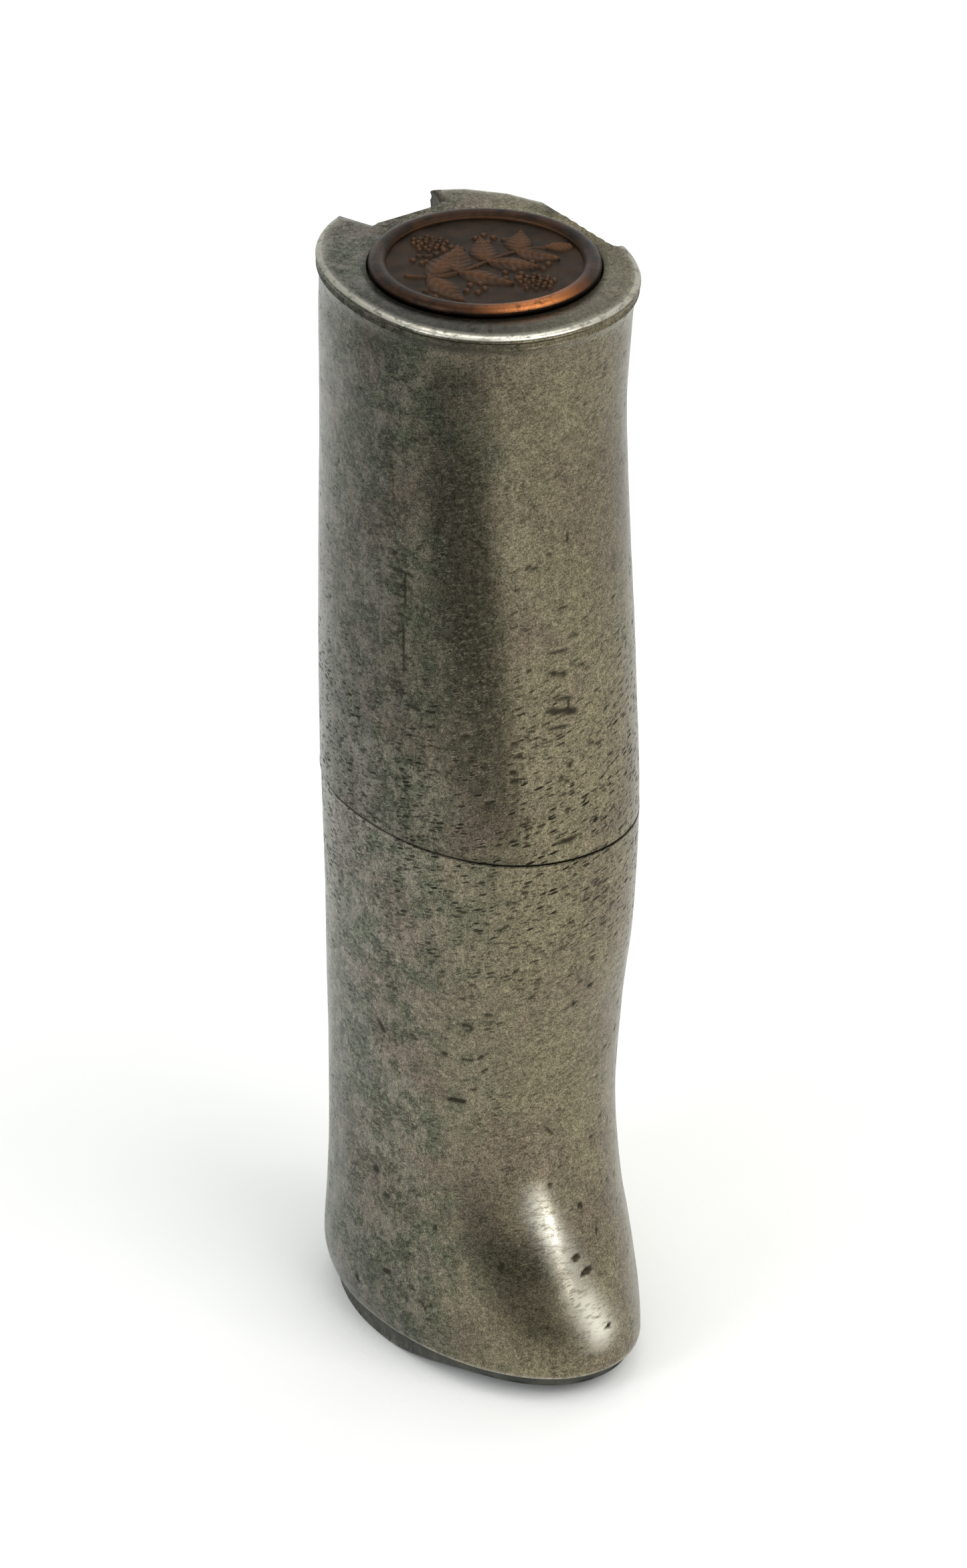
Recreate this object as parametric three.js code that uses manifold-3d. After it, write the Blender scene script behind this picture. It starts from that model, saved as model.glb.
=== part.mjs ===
// A figural lead holder: a cast-metal boot in two halves. The lower half carries a screw chuck, its
// barrel and a magazine of spare leads; the upper half is the cap, with a bronze medallion in its crown.
// Millimetres. The origin is on the resting plane of the sole, on the axis of the bore.
// +Z is up, the toe points to -Y, the boot's left side is +X.
import * as THREE from 'three';
import { mergeVertices } from 'three/addons/utils/BufferGeometryUtils.js';
import Module from 'manifold-3d';

const wasm = await Module();
wasm.setup();

// ---- driving dimensions ------------------------------------------------------------------------
const GAP = 0.15;              // between two pieces that rest on each other
const ROUND = 36;              // facets around a large bore
const SMALL_ROUND = 20;        // facets around a small pin or hole
const OUTLINE_POINTS = 48;     // points around the casting's outline
const OUTLINE_POWER = 2.15;    // 2 is an ellipse, more is squarer

const SEAM_Z = 44.5;           // top face of the lower casting
const SEAM_GAP = 0.1;
const CROWN_Z = 85.5;          // top of the crown's bead
const SOLE_EDGE_TOE_Z = 2;     // lower edge of the casting at the toe
const SOLE_EDGE_SLOPE = 0.015; // the edge rises towards the heel
const TOE_Y = -17.2;
const HEEL_Y = 12.1;

// height, half width, depth to the toe, depth to the heel, and how far the front narrows to a crest
const OUTLINE = [
  [0.0, 9.5, 16.9, 12.0, 0.04],
  [2.4, 9.7, 17.2, 12.1, 0.06],
  [4.9, 9.9, 17.0, 11.7, 0.12],
  [8.9, 9.8, 16.3, 11.4, 0.2],
  [13.4, 9.6, 14.5, 11.4, 0.2],
  [19.9, 9.5, 12.6, 11.7, 0.08],
  [27.9, 9.7, 12.6, 11.8, 0.0],
  [35.9, 9.95, 13.8, 11.8, 0.0],
  [44.9, 10.2, 14.0, 12.1, 0.0],
  [54.9, 10.25, 12.9, 12.5, 0.0],
  [64.9, 10.1, 11.7, 12.7, 0.0],
  [74.9, 10.0, 10.6, 12.8, 0.0],
  [80.9, 10.15, 10.9, 12.75, 0.0],
  [83.7, 10.2, 11.3, 12.6, 0.0],
  [85.0, 10.5, 11.85, 12.75, 0.0],
  [85.5, 10.3, 11.6, 12.55, 0.0],
];

// Lower casting
const BORE_R = 8.25;
const BORE_FLOOR_Z = 13;
const BARREL_SOCKET_R = 2.6;
const BARREL_SOCKET_FLOOR_Z = 10;

// Cap casting
const CAP_SLEEVE_R = 8.35;     // slides over the collar
const CAP_SLEEVE_TOP_Z = 55.2;
const CAP_CAVITY_R = 7.7;
const CROWN_UNDERSIDE_Z = 81.2;
const MEDAL_X = 0.4;           // the medallion's seat is a little off the bore's axis
const RECESS_R = 8.2;
const RECESS_FLOOR_Z = 84.85;
const SHANK_HOLE_R = 1.35;
const NOTCH = { left: -3.3, right: 2.6, innerY: 9.3, slope: THREE.MathUtils.degToRad(36) };
const FLAT = { low: -3.1, high: 5.6, innerX: 9.25, slope: THREE.MathUtils.degToRad(40) };

// Collar and friction ring
const COLLAR_R = 8.1;
const COLLAR_INNER_R = 7.4;
const COLLAR_BOTTOM_Z = 32.65;
const COLLAR_TOP_Z = 54.5;
const GROOVE = { r: 7.8, low: 49.6, high: 50.6 };
const SPRING_RING = { inner: 7.9, outer: 8.25, low: 49.8, high: 50.4, gap: THREE.MathUtils.degToRad(24) };

// Magazine and leads
const FELT = { r: 8.05, hole: 3, low: 13.15, high: 14.3 };
const MAGAZINE = { r: 8.1, low: 14.45, high: 32.5, hole: 2.6, leadHole: 1.2 };
const SPARE_COUNT = 6;
const SPARE_CIRCLE_R = 5.9;
const LEAD_R = 1;
const SPARE_LOW_Z = 14.5;
const SPARE_HIGH_Z = 57;
const LEAD_LOW_Z = 13;
const LEAD_CONE_Z = 64.5;
const LEAD_TIP_Z = 69.5;
const LEAD_TIP_R = 0.2;

// Barrel and chuck
const BARREL = { r: 2.4, inner: 1.25, low: 10.15, high: 46 };
const STOP = { r: 1.1, low: 10.3, high: 12.85 };
const THREAD_CREST_R = 3.25;
const THREAD_ROOT_R = 2.95;
const THREAD_PITCH = 1;
const THREAD_LOW_Z = 46.4;
const THREAD_TURNS = 7;
const CHUCK_FLANGE = { r: 4.1, low: 44.2, high: 46.2 };
const CHUCK_BORE_R = 2.6;
const CHUCK_TOP_Z = 54;
const COLLET = { stem: 2.3, low: 46.2, shoulder: 55, wide: 2.8, wideZ: 56.3, nose: 1.9, top: 60.5 };
const COLLET_BORE_R = 1.12;
const COLLET_SLOTS = 3;
const COLLET_SLOT_WIDTH = 0.4;
const COLLET_SLOT_Z = 50;
const CLOSING_RING = { outer: 3.4, low: 57, high: 58.6, lowInner: 2.82, highInner: 2.48 };
const NUT = { r: 4.3, inner: 3.5, low: 46.5, cone: 58, top: 61.2, nose: 3, noseHole: 2.4, roof: 58.75 };
const NUT_FLUTES = 16;
const NUT_FLUTE_R = 0.35;

// Medallion, its shank and pin
const MEDAL = { r: 8, inner: 6.9, wall: 0.5, edge: 0.25, low: 85, field: 85.45, under: 85.35, rim: 85.95 };
const MEDAL_BACK = { r: 7.3, low: 85, high: 85.2 };
const SHANK = { r: 1.2, low: 79.6, high: 84.8, eye: 0.55 };
const SHANK_PIN = { r: 0.4, z: 80.6, half: 3.4 };

// Sole, screws and dowel
const SOLE = { halfWidth: 9.35, front: 16.6, back: 11.7, flatEndY: -3, riseEndY: -9.5, toeRise: 1.45 };
const SCREW_Y = [2.6, 8.8];
const SCREW = { head: 1.6, shank: 0.9, headLow: 0.35, headHigh: 1.2, top: 9 };
const SCREW_CLEAR = 0.15;
const SCREW_SLOT = { width: 0.5, depth: 0.45 };
const DOWEL = { r: 0.8, y: -11.1, low: 38, high: 48.4, clear: 0.25 };

// ---- materials ---------------------------------------------------------------------------------
function metal(name, colour, roughness, metalness = 1) {
  return new THREE.MeshStandardMaterial({ name, color: new THREE.Color(colour), roughness, metalness });
}

const MATERIALS = {
  casting: metal('casting', 0x8f8b80, 0.45),
  medal: metal('medal', 0x6d4a34, 0.5),
  sole: metal('sole', 0x4a463f, 0.7, 0.6),
  steel: metal('steel', 0xa3a39d, 0.35),
  brass: metal('brass', 0xb5924f, 0.35),
  wood: metal('wood', 0x9a7446, 0.6, 0),
  felt: metal('felt', 0x3d4a37, 0.95, 0),
  lead: metal('lead', 0x35353a, 0.5, 0.3),
};

// ---- solids ------------------------------------------------------------------------------------
// A closed three.js geometry as a manifold: shared vertices are merged and empty triangles dropped.
function toSolid(geometry) {
  const bare = geometry.clone();
  bare.deleteAttribute('normal');
  bare.deleteAttribute('uv');
  const merged = mergeVertices(bare, 1e-4);
  const index = merged.index.array;
  const kept = [];
  for (let i = 0; i < index.length; i += 3) {
    const [a, b, c] = [index[i], index[i + 1], index[i + 2]];
    if (a !== b && b !== c && c !== a) kept.push(a, b, c);
  }
  const vertProperties = new Float32Array(merged.attributes.position.array);
  const triVerts = new Uint32Array(kept);
  return new wasm.Manifold(new wasm.Mesh({ numProp: 3, vertProperties, triVerts }));
}

function toGeometry(solid) {
  const mesh = solid.getMesh();
  const geometry = new THREE.BufferGeometry();
  geometry.setAttribute('position', new THREE.BufferAttribute(mesh.vertProperties, 3));
  geometry.setIndex(new THREE.BufferAttribute(mesh.triVerts, 1));
  geometry.computeVertexNormals();
  return geometry;
}

// A profile of [radius, height] points turned around Z. It starts and ends on the axis or closes on
// itself, and runs up the outside and down the inside.
function turned(profile, facets = ROUND) {
  const points = profile.map(([r, z]) => new THREE.Vector2(r, z));
  const geometry = new THREE.LatheGeometry(points, facets);
  geometry.rotateX(Math.PI / 2);
  return toSolid(geometry);
}

function rod(radius, low, high, facets = SMALL_ROUND) {
  return turned([[0, low], [radius, low], [radius, high], [0, high]], facets);
}

function tube(radius, inner, low, high, facets = ROUND) {
  return turned([[inner, low], [radius, low], [radius, high], [inner, high], [inner, low]], facets);
}

function block(width, depth, height, place = new THREE.Matrix4()) {
  return toSolid(new THREE.BoxGeometry(width, depth, height).applyMatrix4(place));
}

function moved(x, y, z) {
  return new THREE.Matrix4().makeTranslation(x, y, z);
}

// ---- the casting's outer form ------------------------------------------------------------------
// The outline's values at a height, on a smooth curve through the rows of OUTLINE.
function outlineAt(z) {
  const rows = OUTLINE;
  let i = 0;
  while (i < rows.length - 2 && z > rows[i + 1][0]) i += 1;
  const span = rows[i + 1][0] - rows[i][0];
  const t = (z - rows[i][0]) / span;
  const slope = (k, column) => {
    const before = rows[Math.max(k - 1, 0)];
    const after = rows[Math.min(k + 1, rows.length - 1)];
    return (after[column] - before[column]) / (after[0] - before[0]);
  };
  return [1, 2, 3, 4].map((column) => {
    const start = rows[i][column];
    const end = rows[i + 1][column];
    const blend = t * t * (3 - 2 * t);
    const bow = span * t * (1 - t) * ((1 - t) * slope(i, column) - t * slope(i + 1, column));
    return start + (end - start) * blend + bow;
  });
}

// Points around the boot: half width, depth to the toe and to the heel, narrowed to a crest in front.
function outlineRing(z, [halfWidth, front, back, crest]) {
  const ring = [];
  const power = 2 / OUTLINE_POWER;
  for (let i = 0; i < OUTLINE_POINTS; i += 1) {
    const angle = (i / OUTLINE_POINTS) * Math.PI * 2;
    const across = Math.sign(Math.cos(angle)) * Math.abs(Math.cos(angle)) ** power;
    const along = Math.sign(Math.sin(angle)) * Math.abs(Math.sin(angle)) ** power;
    const forward = Math.max(0, -Math.sin(angle));
    const x = halfWidth * across * (1 - crest * forward * forward);
    const y = along * (along < 0 ? front : back);
    ring.push(new THREE.Vector3(x, y, z));
  }
  return ring;
}

// A closed skin over a stack of rings, with a fan over each end.
function loft(rings) {
  const count = rings[0].length;
  const points = rings.flat();
  const index = [];
  for (let level = 0; level < rings.length - 1; level += 1) {
    for (let i = 0; i < count; i += 1) {
      const a = level * count + i;
      const b = level * count + ((i + 1) % count);
      index.push(a, b, b + count, a, b + count, a + count);
    }
  }
  const top = (rings.length - 1) * count;
  for (let i = 1; i < count - 1; i += 1) {
    index.push(0, i + 1, i);
    index.push(top, top + i, top + i + 1);
  }
  const geometry = new THREE.BufferGeometry().setFromPoints(points);
  geometry.setIndex(index);
  return toSolid(geometry);
}

function column(low, high, levels) {
  const heights = [low, ...levels.filter((z) => z > low && z < high), high];
  return loft(heights.map((z) => outlineRing(z, outlineAt(z))));
}

// ---- lower casting, sole and fixings -----------------------------------------------------------
function soleEdge(y) {
  return SOLE_EDGE_TOE_Z + SOLE_EDGE_SLOPE * (y - TOE_Y);
}

// A slab across the boot whose side view is the given outline of [y, z] points.
function crossSlab(outline) {
  const width = 30;
  const shape = new THREE.Shape(outline.map(([y, z]) => new THREE.Vector2(y, z)));
  const geometry = new THREE.ExtrudeGeometry(shape, { depth: width, bevelEnabled: false });
  const axes = new THREE.Matrix4().makeBasis(
    new THREE.Vector3(0, 1, 0),
    new THREE.Vector3(0, 0, 1),
    new THREE.Vector3(1, 0, 0),
  );
  geometry.applyMatrix4(axes);
  geometry.translate(-width / 2, 0, 0);
  return toSolid(geometry);
}

function bootBody() {
  const margin = 3;
  const front = TOE_Y - margin;
  const back = HEEL_Y + margin;
  const under = crossSlab([[front, -1], [back, -1], [back, soleEdge(back)], [front, soleEdge(front)]]);
  let body = column(0, SEAM_Z, [2.4, 4.9, 7, 8.9, 11, 13.4, 16.5, 19.9, 24, 28, 32, 36, 40]).subtract(under);
  body = body.subtract(rod(BORE_R, BORE_FLOOR_Z, SEAM_Z + 1, ROUND));
  body = body.subtract(rod(BARREL_SOCKET_R, BARREL_SOCKET_FLOOR_Z, BORE_FLOOR_Z + 1));
  for (const y of SCREW_Y) {
    body = body.subtract(rod(SCREW.shank + SCREW_CLEAR, 0, SCREW.top + 2 * GAP).translate(0, y, 0));
  }
  return body.subtract(rod(DOWEL.r + GAP, DOWEL.low - GAP, SEAM_Z + 1).translate(0, DOWEL.y, 0));
}

// The sole is thick and flat under the heel, rises in a curve at the waist and is thin under the toe.
function solePlate() {
  const steps = 10;
  const [front, back] = [TOE_Y - 1, HEEL_Y + 1];
  const outline = [[front, SOLE.toeRise]];
  for (let i = 0; i <= steps; i += 1) {
    const part = 1 - i / steps;
    const y = SOLE.flatEndY + (SOLE.riseEndY - SOLE.flatEndY) * part;
    outline.push([y, SOLE.toeRise * part * part * (3 - 2 * part)]);
  }
  outline.push([back, 0], [back, soleEdge(back) - GAP], [front, soleEdge(front) - GAP]);
  const plan = [SOLE.halfWidth, SOLE.front, SOLE.back, OUTLINE[1][4]];
  const [under, over] = [-1, 6];
  let sole = loft([outlineRing(under, plan), outlineRing(over, plan)]).intersect(crossSlab(outline));
  for (const y of SCREW_Y) {
    const wide = SCREW.head + SCREW_CLEAR;
    const narrow = SCREW.shank + SCREW_CLEAR;
    const sink = [[0, under], [wide, under], [wide, SCREW.headLow], [narrow, SCREW.headHigh]];
    sole = sole.subtract(turned([...sink, [narrow, over], [0, over]], SMALL_ROUND).translate(0, y, 0));
  }
  return sole;
}

function soleScrew(y) {
  const neck = SCREW.headHigh;
  const point = SCREW.top;
  const profile = [[0, SCREW.headLow], [SCREW.head, SCREW.headLow], [SCREW.shank, neck]];
  profile.push([SCREW.shank, point - 1], [0, point]);
  const slot = block(2 * SCREW.head + 1, SCREW_SLOT.width, 2 * SCREW_SLOT.depth, moved(0, 0, SCREW.headLow));
  return turned(profile, SMALL_ROUND).subtract(slot).translate(0, y, 0);
}

// ---- cap ---------------------------------------------------------------------------------------
// A thumb notch at the back of the crown, whose floor falls outwards.
function thumbNotch() {
  const size = 8;
  const width = NOTCH.right - NOTCH.left;
  const place = new THREE.Matrix4().makeTranslation((NOTCH.left + NOTCH.right) / 2, NOTCH.innerY, CROWN_Z);
  place.multiply(new THREE.Matrix4().makeRotationX(-NOTCH.slope));
  place.multiply(moved(0, size / 2, size / 2));
  return block(width, size, size, place);
}

// A filed flat on the side of the crown, whose floor falls outwards.
function sideFlat() {
  const size = 8;
  const length = FLAT.high - FLAT.low;
  const place = new THREE.Matrix4().makeTranslation(FLAT.innerX, (FLAT.low + FLAT.high) / 2, CROWN_Z);
  place.multiply(new THREE.Matrix4().makeRotationY(FLAT.slope));
  place.multiply(moved(size / 2, 0, size / 2));
  return block(size, length, size, place);
}

function capShell() {
  const levels = [49, 54, 59, 64, 69, 74, 78, 81, 83.3, 84.2, 84.7];
  const low = SEAM_Z + SEAM_GAP;
  const bore = turned([
    [0, low - 1],
    [CAP_SLEEVE_R, low - 1],
    [CAP_SLEEVE_R, CAP_SLEEVE_TOP_Z],
    [CAP_CAVITY_R, CAP_SLEEVE_TOP_Z],
    [CAP_CAVITY_R, CROWN_UNDERSIDE_Z],
    [0, CROWN_UNDERSIDE_Z],
  ]);
  let cap = column(low, CROWN_Z, levels).subtract(bore);
  cap = cap.subtract(rod(RECESS_R, RECESS_FLOOR_Z, CROWN_Z + 1, ROUND).translate(MEDAL_X, 0, 0));
  cap = cap.subtract(rod(SHANK_HOLE_R, CROWN_UNDERSIDE_Z - 1, CROWN_Z).translate(MEDAL_X, 0, 0));
  cap = cap.subtract(rod(DOWEL.r + DOWEL.clear, low - 1, DOWEL.high + 1).translate(0, DOWEL.y, 0));
  return cap.subtract(thumbNotch()).subtract(sideFlat());
}

// A stamped disc with a rolled rim. The underside is hollow inside the rim.
function medallionFace() {
  const { r, inner, wall, edge, low, field, under, rim } = MEDAL;
  const hollow = [[0, under], [r - wall, under], [r - wall, low]];
  const outside = [[r - edge, low], [r, low + edge], [r, rim - edge], [r - wall, rim]];
  const inside = [[inner + edge, rim], [inner, field + edge / 2], [0, field]];
  return turned([...hollow, ...outside, ...inside]).translate(MEDAL_X, 0, 0);
}

function medallionBack() {
  return rod(MEDAL_BACK.r, MEDAL_BACK.low, MEDAL_BACK.high, ROUND).translate(MEDAL_X, 0, 0);
}

function medallionShank() {
  const post = rod(SHANK.r, SHANK.low, SHANK.high);
  const eye = toSolid(new THREE.CylinderGeometry(SHANK.eye, SHANK.eye, 4, 16).rotateZ(Math.PI / 2));
  return post.subtract(eye.translate(0, 0, SHANK_PIN.z)).translate(MEDAL_X, 0, 0);
}

function shankPin() {
  const geometry = new THREE.CylinderGeometry(SHANK_PIN.r, SHANK_PIN.r, 2 * SHANK_PIN.half, 12);
  geometry.rotateZ(Math.PI / 2);
  return toSolid(geometry).translate(MEDAL_X, 0, SHANK_PIN.z);
}

// ---- collar, magazine and leads ----------------------------------------------------------------
function collarTube() {
  const lip = 0.3;
  return turned([
    [COLLAR_INNER_R, COLLAR_BOTTOM_Z],
    [COLLAR_R, COLLAR_BOTTOM_Z],
    [COLLAR_R, GROOVE.low],
    [GROOVE.r, GROOVE.low],
    [GROOVE.r, GROOVE.high],
    [COLLAR_R, GROOVE.high],
    [COLLAR_R, COLLAR_TOP_Z - lip],
    [COLLAR_R - lip, COLLAR_TOP_Z],
    [COLLAR_INNER_R, COLLAR_TOP_Z],
    [COLLAR_INNER_R, COLLAR_BOTTOM_Z],
  ]);
}

function frictionRing() {
  const start = Math.PI / 2 + SPRING_RING.gap / 2;
  const end = start + 2 * Math.PI - SPRING_RING.gap;
  const shape = new THREE.Shape();
  shape.absarc(0, 0, SPRING_RING.outer, start, end, false);
  shape.absarc(0, 0, SPRING_RING.inner, end, start, true);
  const depth = SPRING_RING.high - SPRING_RING.low;
  const geometry = new THREE.ExtrudeGeometry(shape, { depth, bevelEnabled: false, curveSegments: 24 });
  return toSolid(geometry).translate(0, 0, SPRING_RING.low);
}

function sparePlace(i) {
  const angle = ((i + 0.5) / SPARE_COUNT) * Math.PI * 2;
  return [SPARE_CIRCLE_R * Math.cos(angle), SPARE_CIRCLE_R * Math.sin(angle)];
}

function leadMagazine() {
  const chamfer = 0.4;
  const { r, low, high, hole, leadHole } = MAGAZINE;
  const profile = [[0, low], [r, low], [r, high - chamfer], [r - chamfer, high], [0, high]];
  let magazine = turned(profile).subtract(rod(hole, low - 1, high + 1));
  for (let i = 0; i < SPARE_COUNT; i += 1) {
    const [x, y] = sparePlace(i);
    magazine = magazine.subtract(rod(leadHole, low - 1, high + 1, 16).translate(x, y, 0));
  }
  return magazine;
}

function spareLead(i) {
  const [x, y] = sparePlace(i);
  return rod(LEAD_R, SPARE_LOW_Z, SPARE_HIGH_Z, 12).translate(x, y, 0);
}

function drawingLead() {
  const profile = [[0, LEAD_LOW_Z], [LEAD_R, LEAD_LOW_Z], [LEAD_R, LEAD_CONE_Z]];
  profile.push([LEAD_TIP_R, LEAD_TIP_Z - 0.1], [0, LEAD_TIP_Z]);
  return turned(profile, 16);
}

// ---- chuck -------------------------------------------------------------------------------------
function chuckBody() {
  const profile = [[CHUCK_BORE_R, CHUCK_FLANGE.low], [CHUCK_FLANGE.r, CHUCK_FLANGE.low]];
  profile.push([CHUCK_FLANGE.r, CHUCK_FLANGE.high], [THREAD_ROOT_R, CHUCK_FLANGE.high]);
  for (let turn = 0; turn < THREAD_TURNS; turn += 1) {
    const z = THREAD_LOW_Z + turn * THREAD_PITCH;
    profile.push([THREAD_ROOT_R, z], [THREAD_CREST_R, z + THREAD_PITCH / 2]);
  }
  profile.push([THREAD_ROOT_R, THREAD_LOW_Z + THREAD_TURNS * THREAD_PITCH], [THREAD_ROOT_R, CHUCK_TOP_Z]);
  profile.push([CHUCK_BORE_R, CHUCK_TOP_Z], [CHUCK_BORE_R, CHUCK_FLANGE.low]);
  return turned(profile, SMALL_ROUND);
}

function colletJaws() {
  const { stem, low, shoulder, wide, wideZ, nose, top } = COLLET;
  const outside = [[stem, low], [stem, shoulder], [wide, wideZ], [nose, top]];
  const profile = [[COLLET_BORE_R, low], ...outside, [COLLET_BORE_R, top], [COLLET_BORE_R, low]];
  let collet = turned(profile, SMALL_ROUND);
  const height = top - COLLET_SLOT_Z + 1;
  for (let i = 0; i < COLLET_SLOTS; i += 1) {
    const reach = wide + 1;
    const place = new THREE.Matrix4().makeRotationZ((i / COLLET_SLOTS) * Math.PI * 2);
    place.multiply(moved(reach / 2, 0, COLLET_SLOT_Z + height / 2));
    collet = collet.subtract(block(reach, COLLET_SLOT_WIDTH, height, place));
  }
  return collet;
}

function closingRing() {
  const { outer, low, high, lowInner, highInner } = CLOSING_RING;
  return turned([[lowInner, low], [outer, low], [outer, high], [highInner, high], [lowInner, low]], SMALL_ROUND);
}

function chuckNut() {
  const { r, inner, low, cone, top, nose, noseHole, roof } = NUT;
  const chamfer = 0.4;
  let nut = turned([
    [inner, low],
    [r - chamfer, low],
    [r, low + chamfer],
    [r, cone],
    [nose, top],
    [noseHole, top],
    [noseHole, roof],
    [inner, roof],
    [inner, low],
  ], ROUND);
  for (let i = 0; i < NUT_FLUTES; i += 1) {
    const angle = (i / NUT_FLUTES) * Math.PI * 2;
    const flute = rod(NUT_FLUTE_R, low + 1.5, cone - 1.5, 6);
    nut = nut.subtract(flute.translate(r * Math.cos(angle), r * Math.sin(angle), 0));
  }
  return nut;
}

// ---- assembly ----------------------------------------------------------------------------------
const boot = new THREE.Group();

function add(name, solid, material) {
  const mesh = new THREE.Mesh(toGeometry(solid), material);
  mesh.name = name;
  boot.add(mesh);
}

add('boot_body', bootBody(), MATERIALS.casting);
add('cap_shell', capShell(), MATERIALS.casting);
add('medallion_face', medallionFace(), MATERIALS.medal);
add('medallion_back', medallionBack(), MATERIALS.brass);
add('medallion_shank', medallionShank(), MATERIALS.brass);
add('shank_pin', shankPin(), MATERIALS.steel);
add('sole_plate', solePlate(), MATERIALS.sole);
add('sole_screw_toe', soleScrew(SCREW_Y[0]), MATERIALS.steel);
add('sole_screw_heel', soleScrew(SCREW_Y[1]), MATERIALS.steel);
add('locating_dowel', rod(DOWEL.r, DOWEL.low, DOWEL.high, 16).translate(0, DOWEL.y, 0), MATERIALS.steel);
add('collar_tube', collarTube(), MATERIALS.brass);
add('friction_ring', frictionRing(), MATERIALS.steel);
add('felt_pad', tube(FELT.r, FELT.hole, FELT.low, FELT.high), MATERIALS.felt);
add('lead_magazine', leadMagazine(), MATERIALS.wood);
add('barrel_tube', tube(BARREL.r, BARREL.inner, BARREL.low, BARREL.high, SMALL_ROUND), MATERIALS.brass);
add('lead_stop', rod(STOP.r, STOP.low, STOP.high, 16), MATERIALS.steel);
add('chuck_body', chuckBody(), MATERIALS.brass);
add('collet', colletJaws(), MATERIALS.steel);
add('closing_ring', closingRing(), MATERIALS.steel);
add('chuck_nut', chuckNut(), MATERIALS.brass);
add('drawing_lead', drawingLead(), MATERIALS.lead);
for (let i = 0; i < SPARE_COUNT; i += 1) {
  add(`spare_lead_${i + 1}`, spareLead(i), MATERIALS.lead);
}

export default boot;
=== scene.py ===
"""A lead holder in the shape of a boot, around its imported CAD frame: two castings, a bronze medallion,
a dark sole, and the screw chuck with its spare leads under the cap. Lengths are in millimetres, and
become metres where a mesh is made. +Z is up, the toe points to -Y, and the origin is under the bore."""
from math import cos, exp, pi, radians, sin, sqrt, tan

import bpy
import numpy as np
from mathutils import Euler, Matrix, Vector
from mathutils.kdtree import KDTree


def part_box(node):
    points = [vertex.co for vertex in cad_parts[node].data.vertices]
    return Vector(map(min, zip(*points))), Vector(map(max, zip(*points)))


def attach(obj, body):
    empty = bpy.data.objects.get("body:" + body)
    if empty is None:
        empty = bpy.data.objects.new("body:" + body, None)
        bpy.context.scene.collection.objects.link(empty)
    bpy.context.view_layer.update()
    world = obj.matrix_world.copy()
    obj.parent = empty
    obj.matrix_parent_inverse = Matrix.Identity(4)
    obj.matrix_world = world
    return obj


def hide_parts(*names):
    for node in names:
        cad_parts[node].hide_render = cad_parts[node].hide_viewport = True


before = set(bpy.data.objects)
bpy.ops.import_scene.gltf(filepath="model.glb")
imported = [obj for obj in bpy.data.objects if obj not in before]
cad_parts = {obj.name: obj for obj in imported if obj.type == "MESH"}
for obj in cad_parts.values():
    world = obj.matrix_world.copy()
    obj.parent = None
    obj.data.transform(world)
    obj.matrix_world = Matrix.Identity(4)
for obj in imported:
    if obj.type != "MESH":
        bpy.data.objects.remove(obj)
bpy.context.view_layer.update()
scene = bpy.context.scene

MM = 0.001
TURN = 2 * pi


def node_box(node):
    """A CAD node's lowest and highest corners, in millimetres."""
    low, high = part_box(node)
    return np.array(low) / MM, np.array(high) / MM


# ---- driving dimensions ----
CAP_LOW, CAP_HIGH = (corner[2] for corner in node_box("cap_shell"))
SEAM_Z = node_box("boot_body")[1][2]
CROWN_Z = CAP_HIGH
MEDAL_X = float(np.mean([corner[0] for corner in node_box("medallion_face")]))
MEDAL_R = float(node_box("medallion_face")[1][0] - MEDAL_X)
MEDAL_LOW, MEDAL_HIGH = (corner[2] for corner in node_box("medallion_face"))
TOE_Y = -17.2
SOLE_EDGE_TOE_Z, SOLE_EDGE_SLOPE = 2.0, -0.03
BORE_R, BORE_FLOOR_Z = 8.25, 13.0
SLEEVE_R, SLEEVE_TOP_Z = 8.35, 55.2
CAVITY_R, CEILING_Z = 7.7, 81.2
RECESS_R, RECESS_FLOOR_Z = 8.2, 84.85
DOWEL_Y = -11.1
SCREW_Y = (2.6, 8.8)
SCREW_HEAD_R, SCREW_SHANK_R = 1.6, 0.9

# height, half width, depth to the toe, depth to the heel, and how far the front narrows to a crest
OUTLINE = np.array([
    [0.0, 9.5, 16.9, 12.0, 0.04],
    [2.4, 9.7, 17.2, 12.1, 0.06],
    [4.9, 9.9, 17.0, 11.7, 0.12],
    [8.9, 9.8, 16.3, 11.4, 0.2],
    [13.4, 9.6, 14.5, 11.4, 0.2],
    [19.9, 9.5, 12.6, 11.7, 0.08],
    [27.9, 9.7, 12.6, 11.8, 0.0],
    [35.9, 9.95, 13.8, 11.8, 0.0],
    [44.9, 10.2, 14.0, 12.1, 0.0],
    [54.9, 10.25, 12.9, 12.5, 0.0],
    [64.9, 10.1, 11.7, 12.7, 0.0],
    [74.9, 10.0, 10.6, 12.8, 0.0],
    [80.9, 10.15, 10.9, 12.75, 0.0],
    [83.7, 10.2, 11.3, 12.6, 0.0],
    [85.0, 10.5, 11.85, 12.75, 0.0],
    [85.5, 10.3, 11.6, 12.55, 0.0],
])
OUTLINE_POWER = 2.15
COLUMNS = 400  # points around a casting
CRISP = 32  # degrees from which an edge is drawn sharp


# ---- meshes ----
def add(name, data):
    """A new object in the scene."""
    thing = bpy.data.objects.new(name, data)
    scene.collection.objects.link(thing)
    return thing


def smooth(mesh, crisp):
    mesh.shade_smooth()
    mesh.set_sharp_from_angle(angle=radians(crisp))


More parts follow.
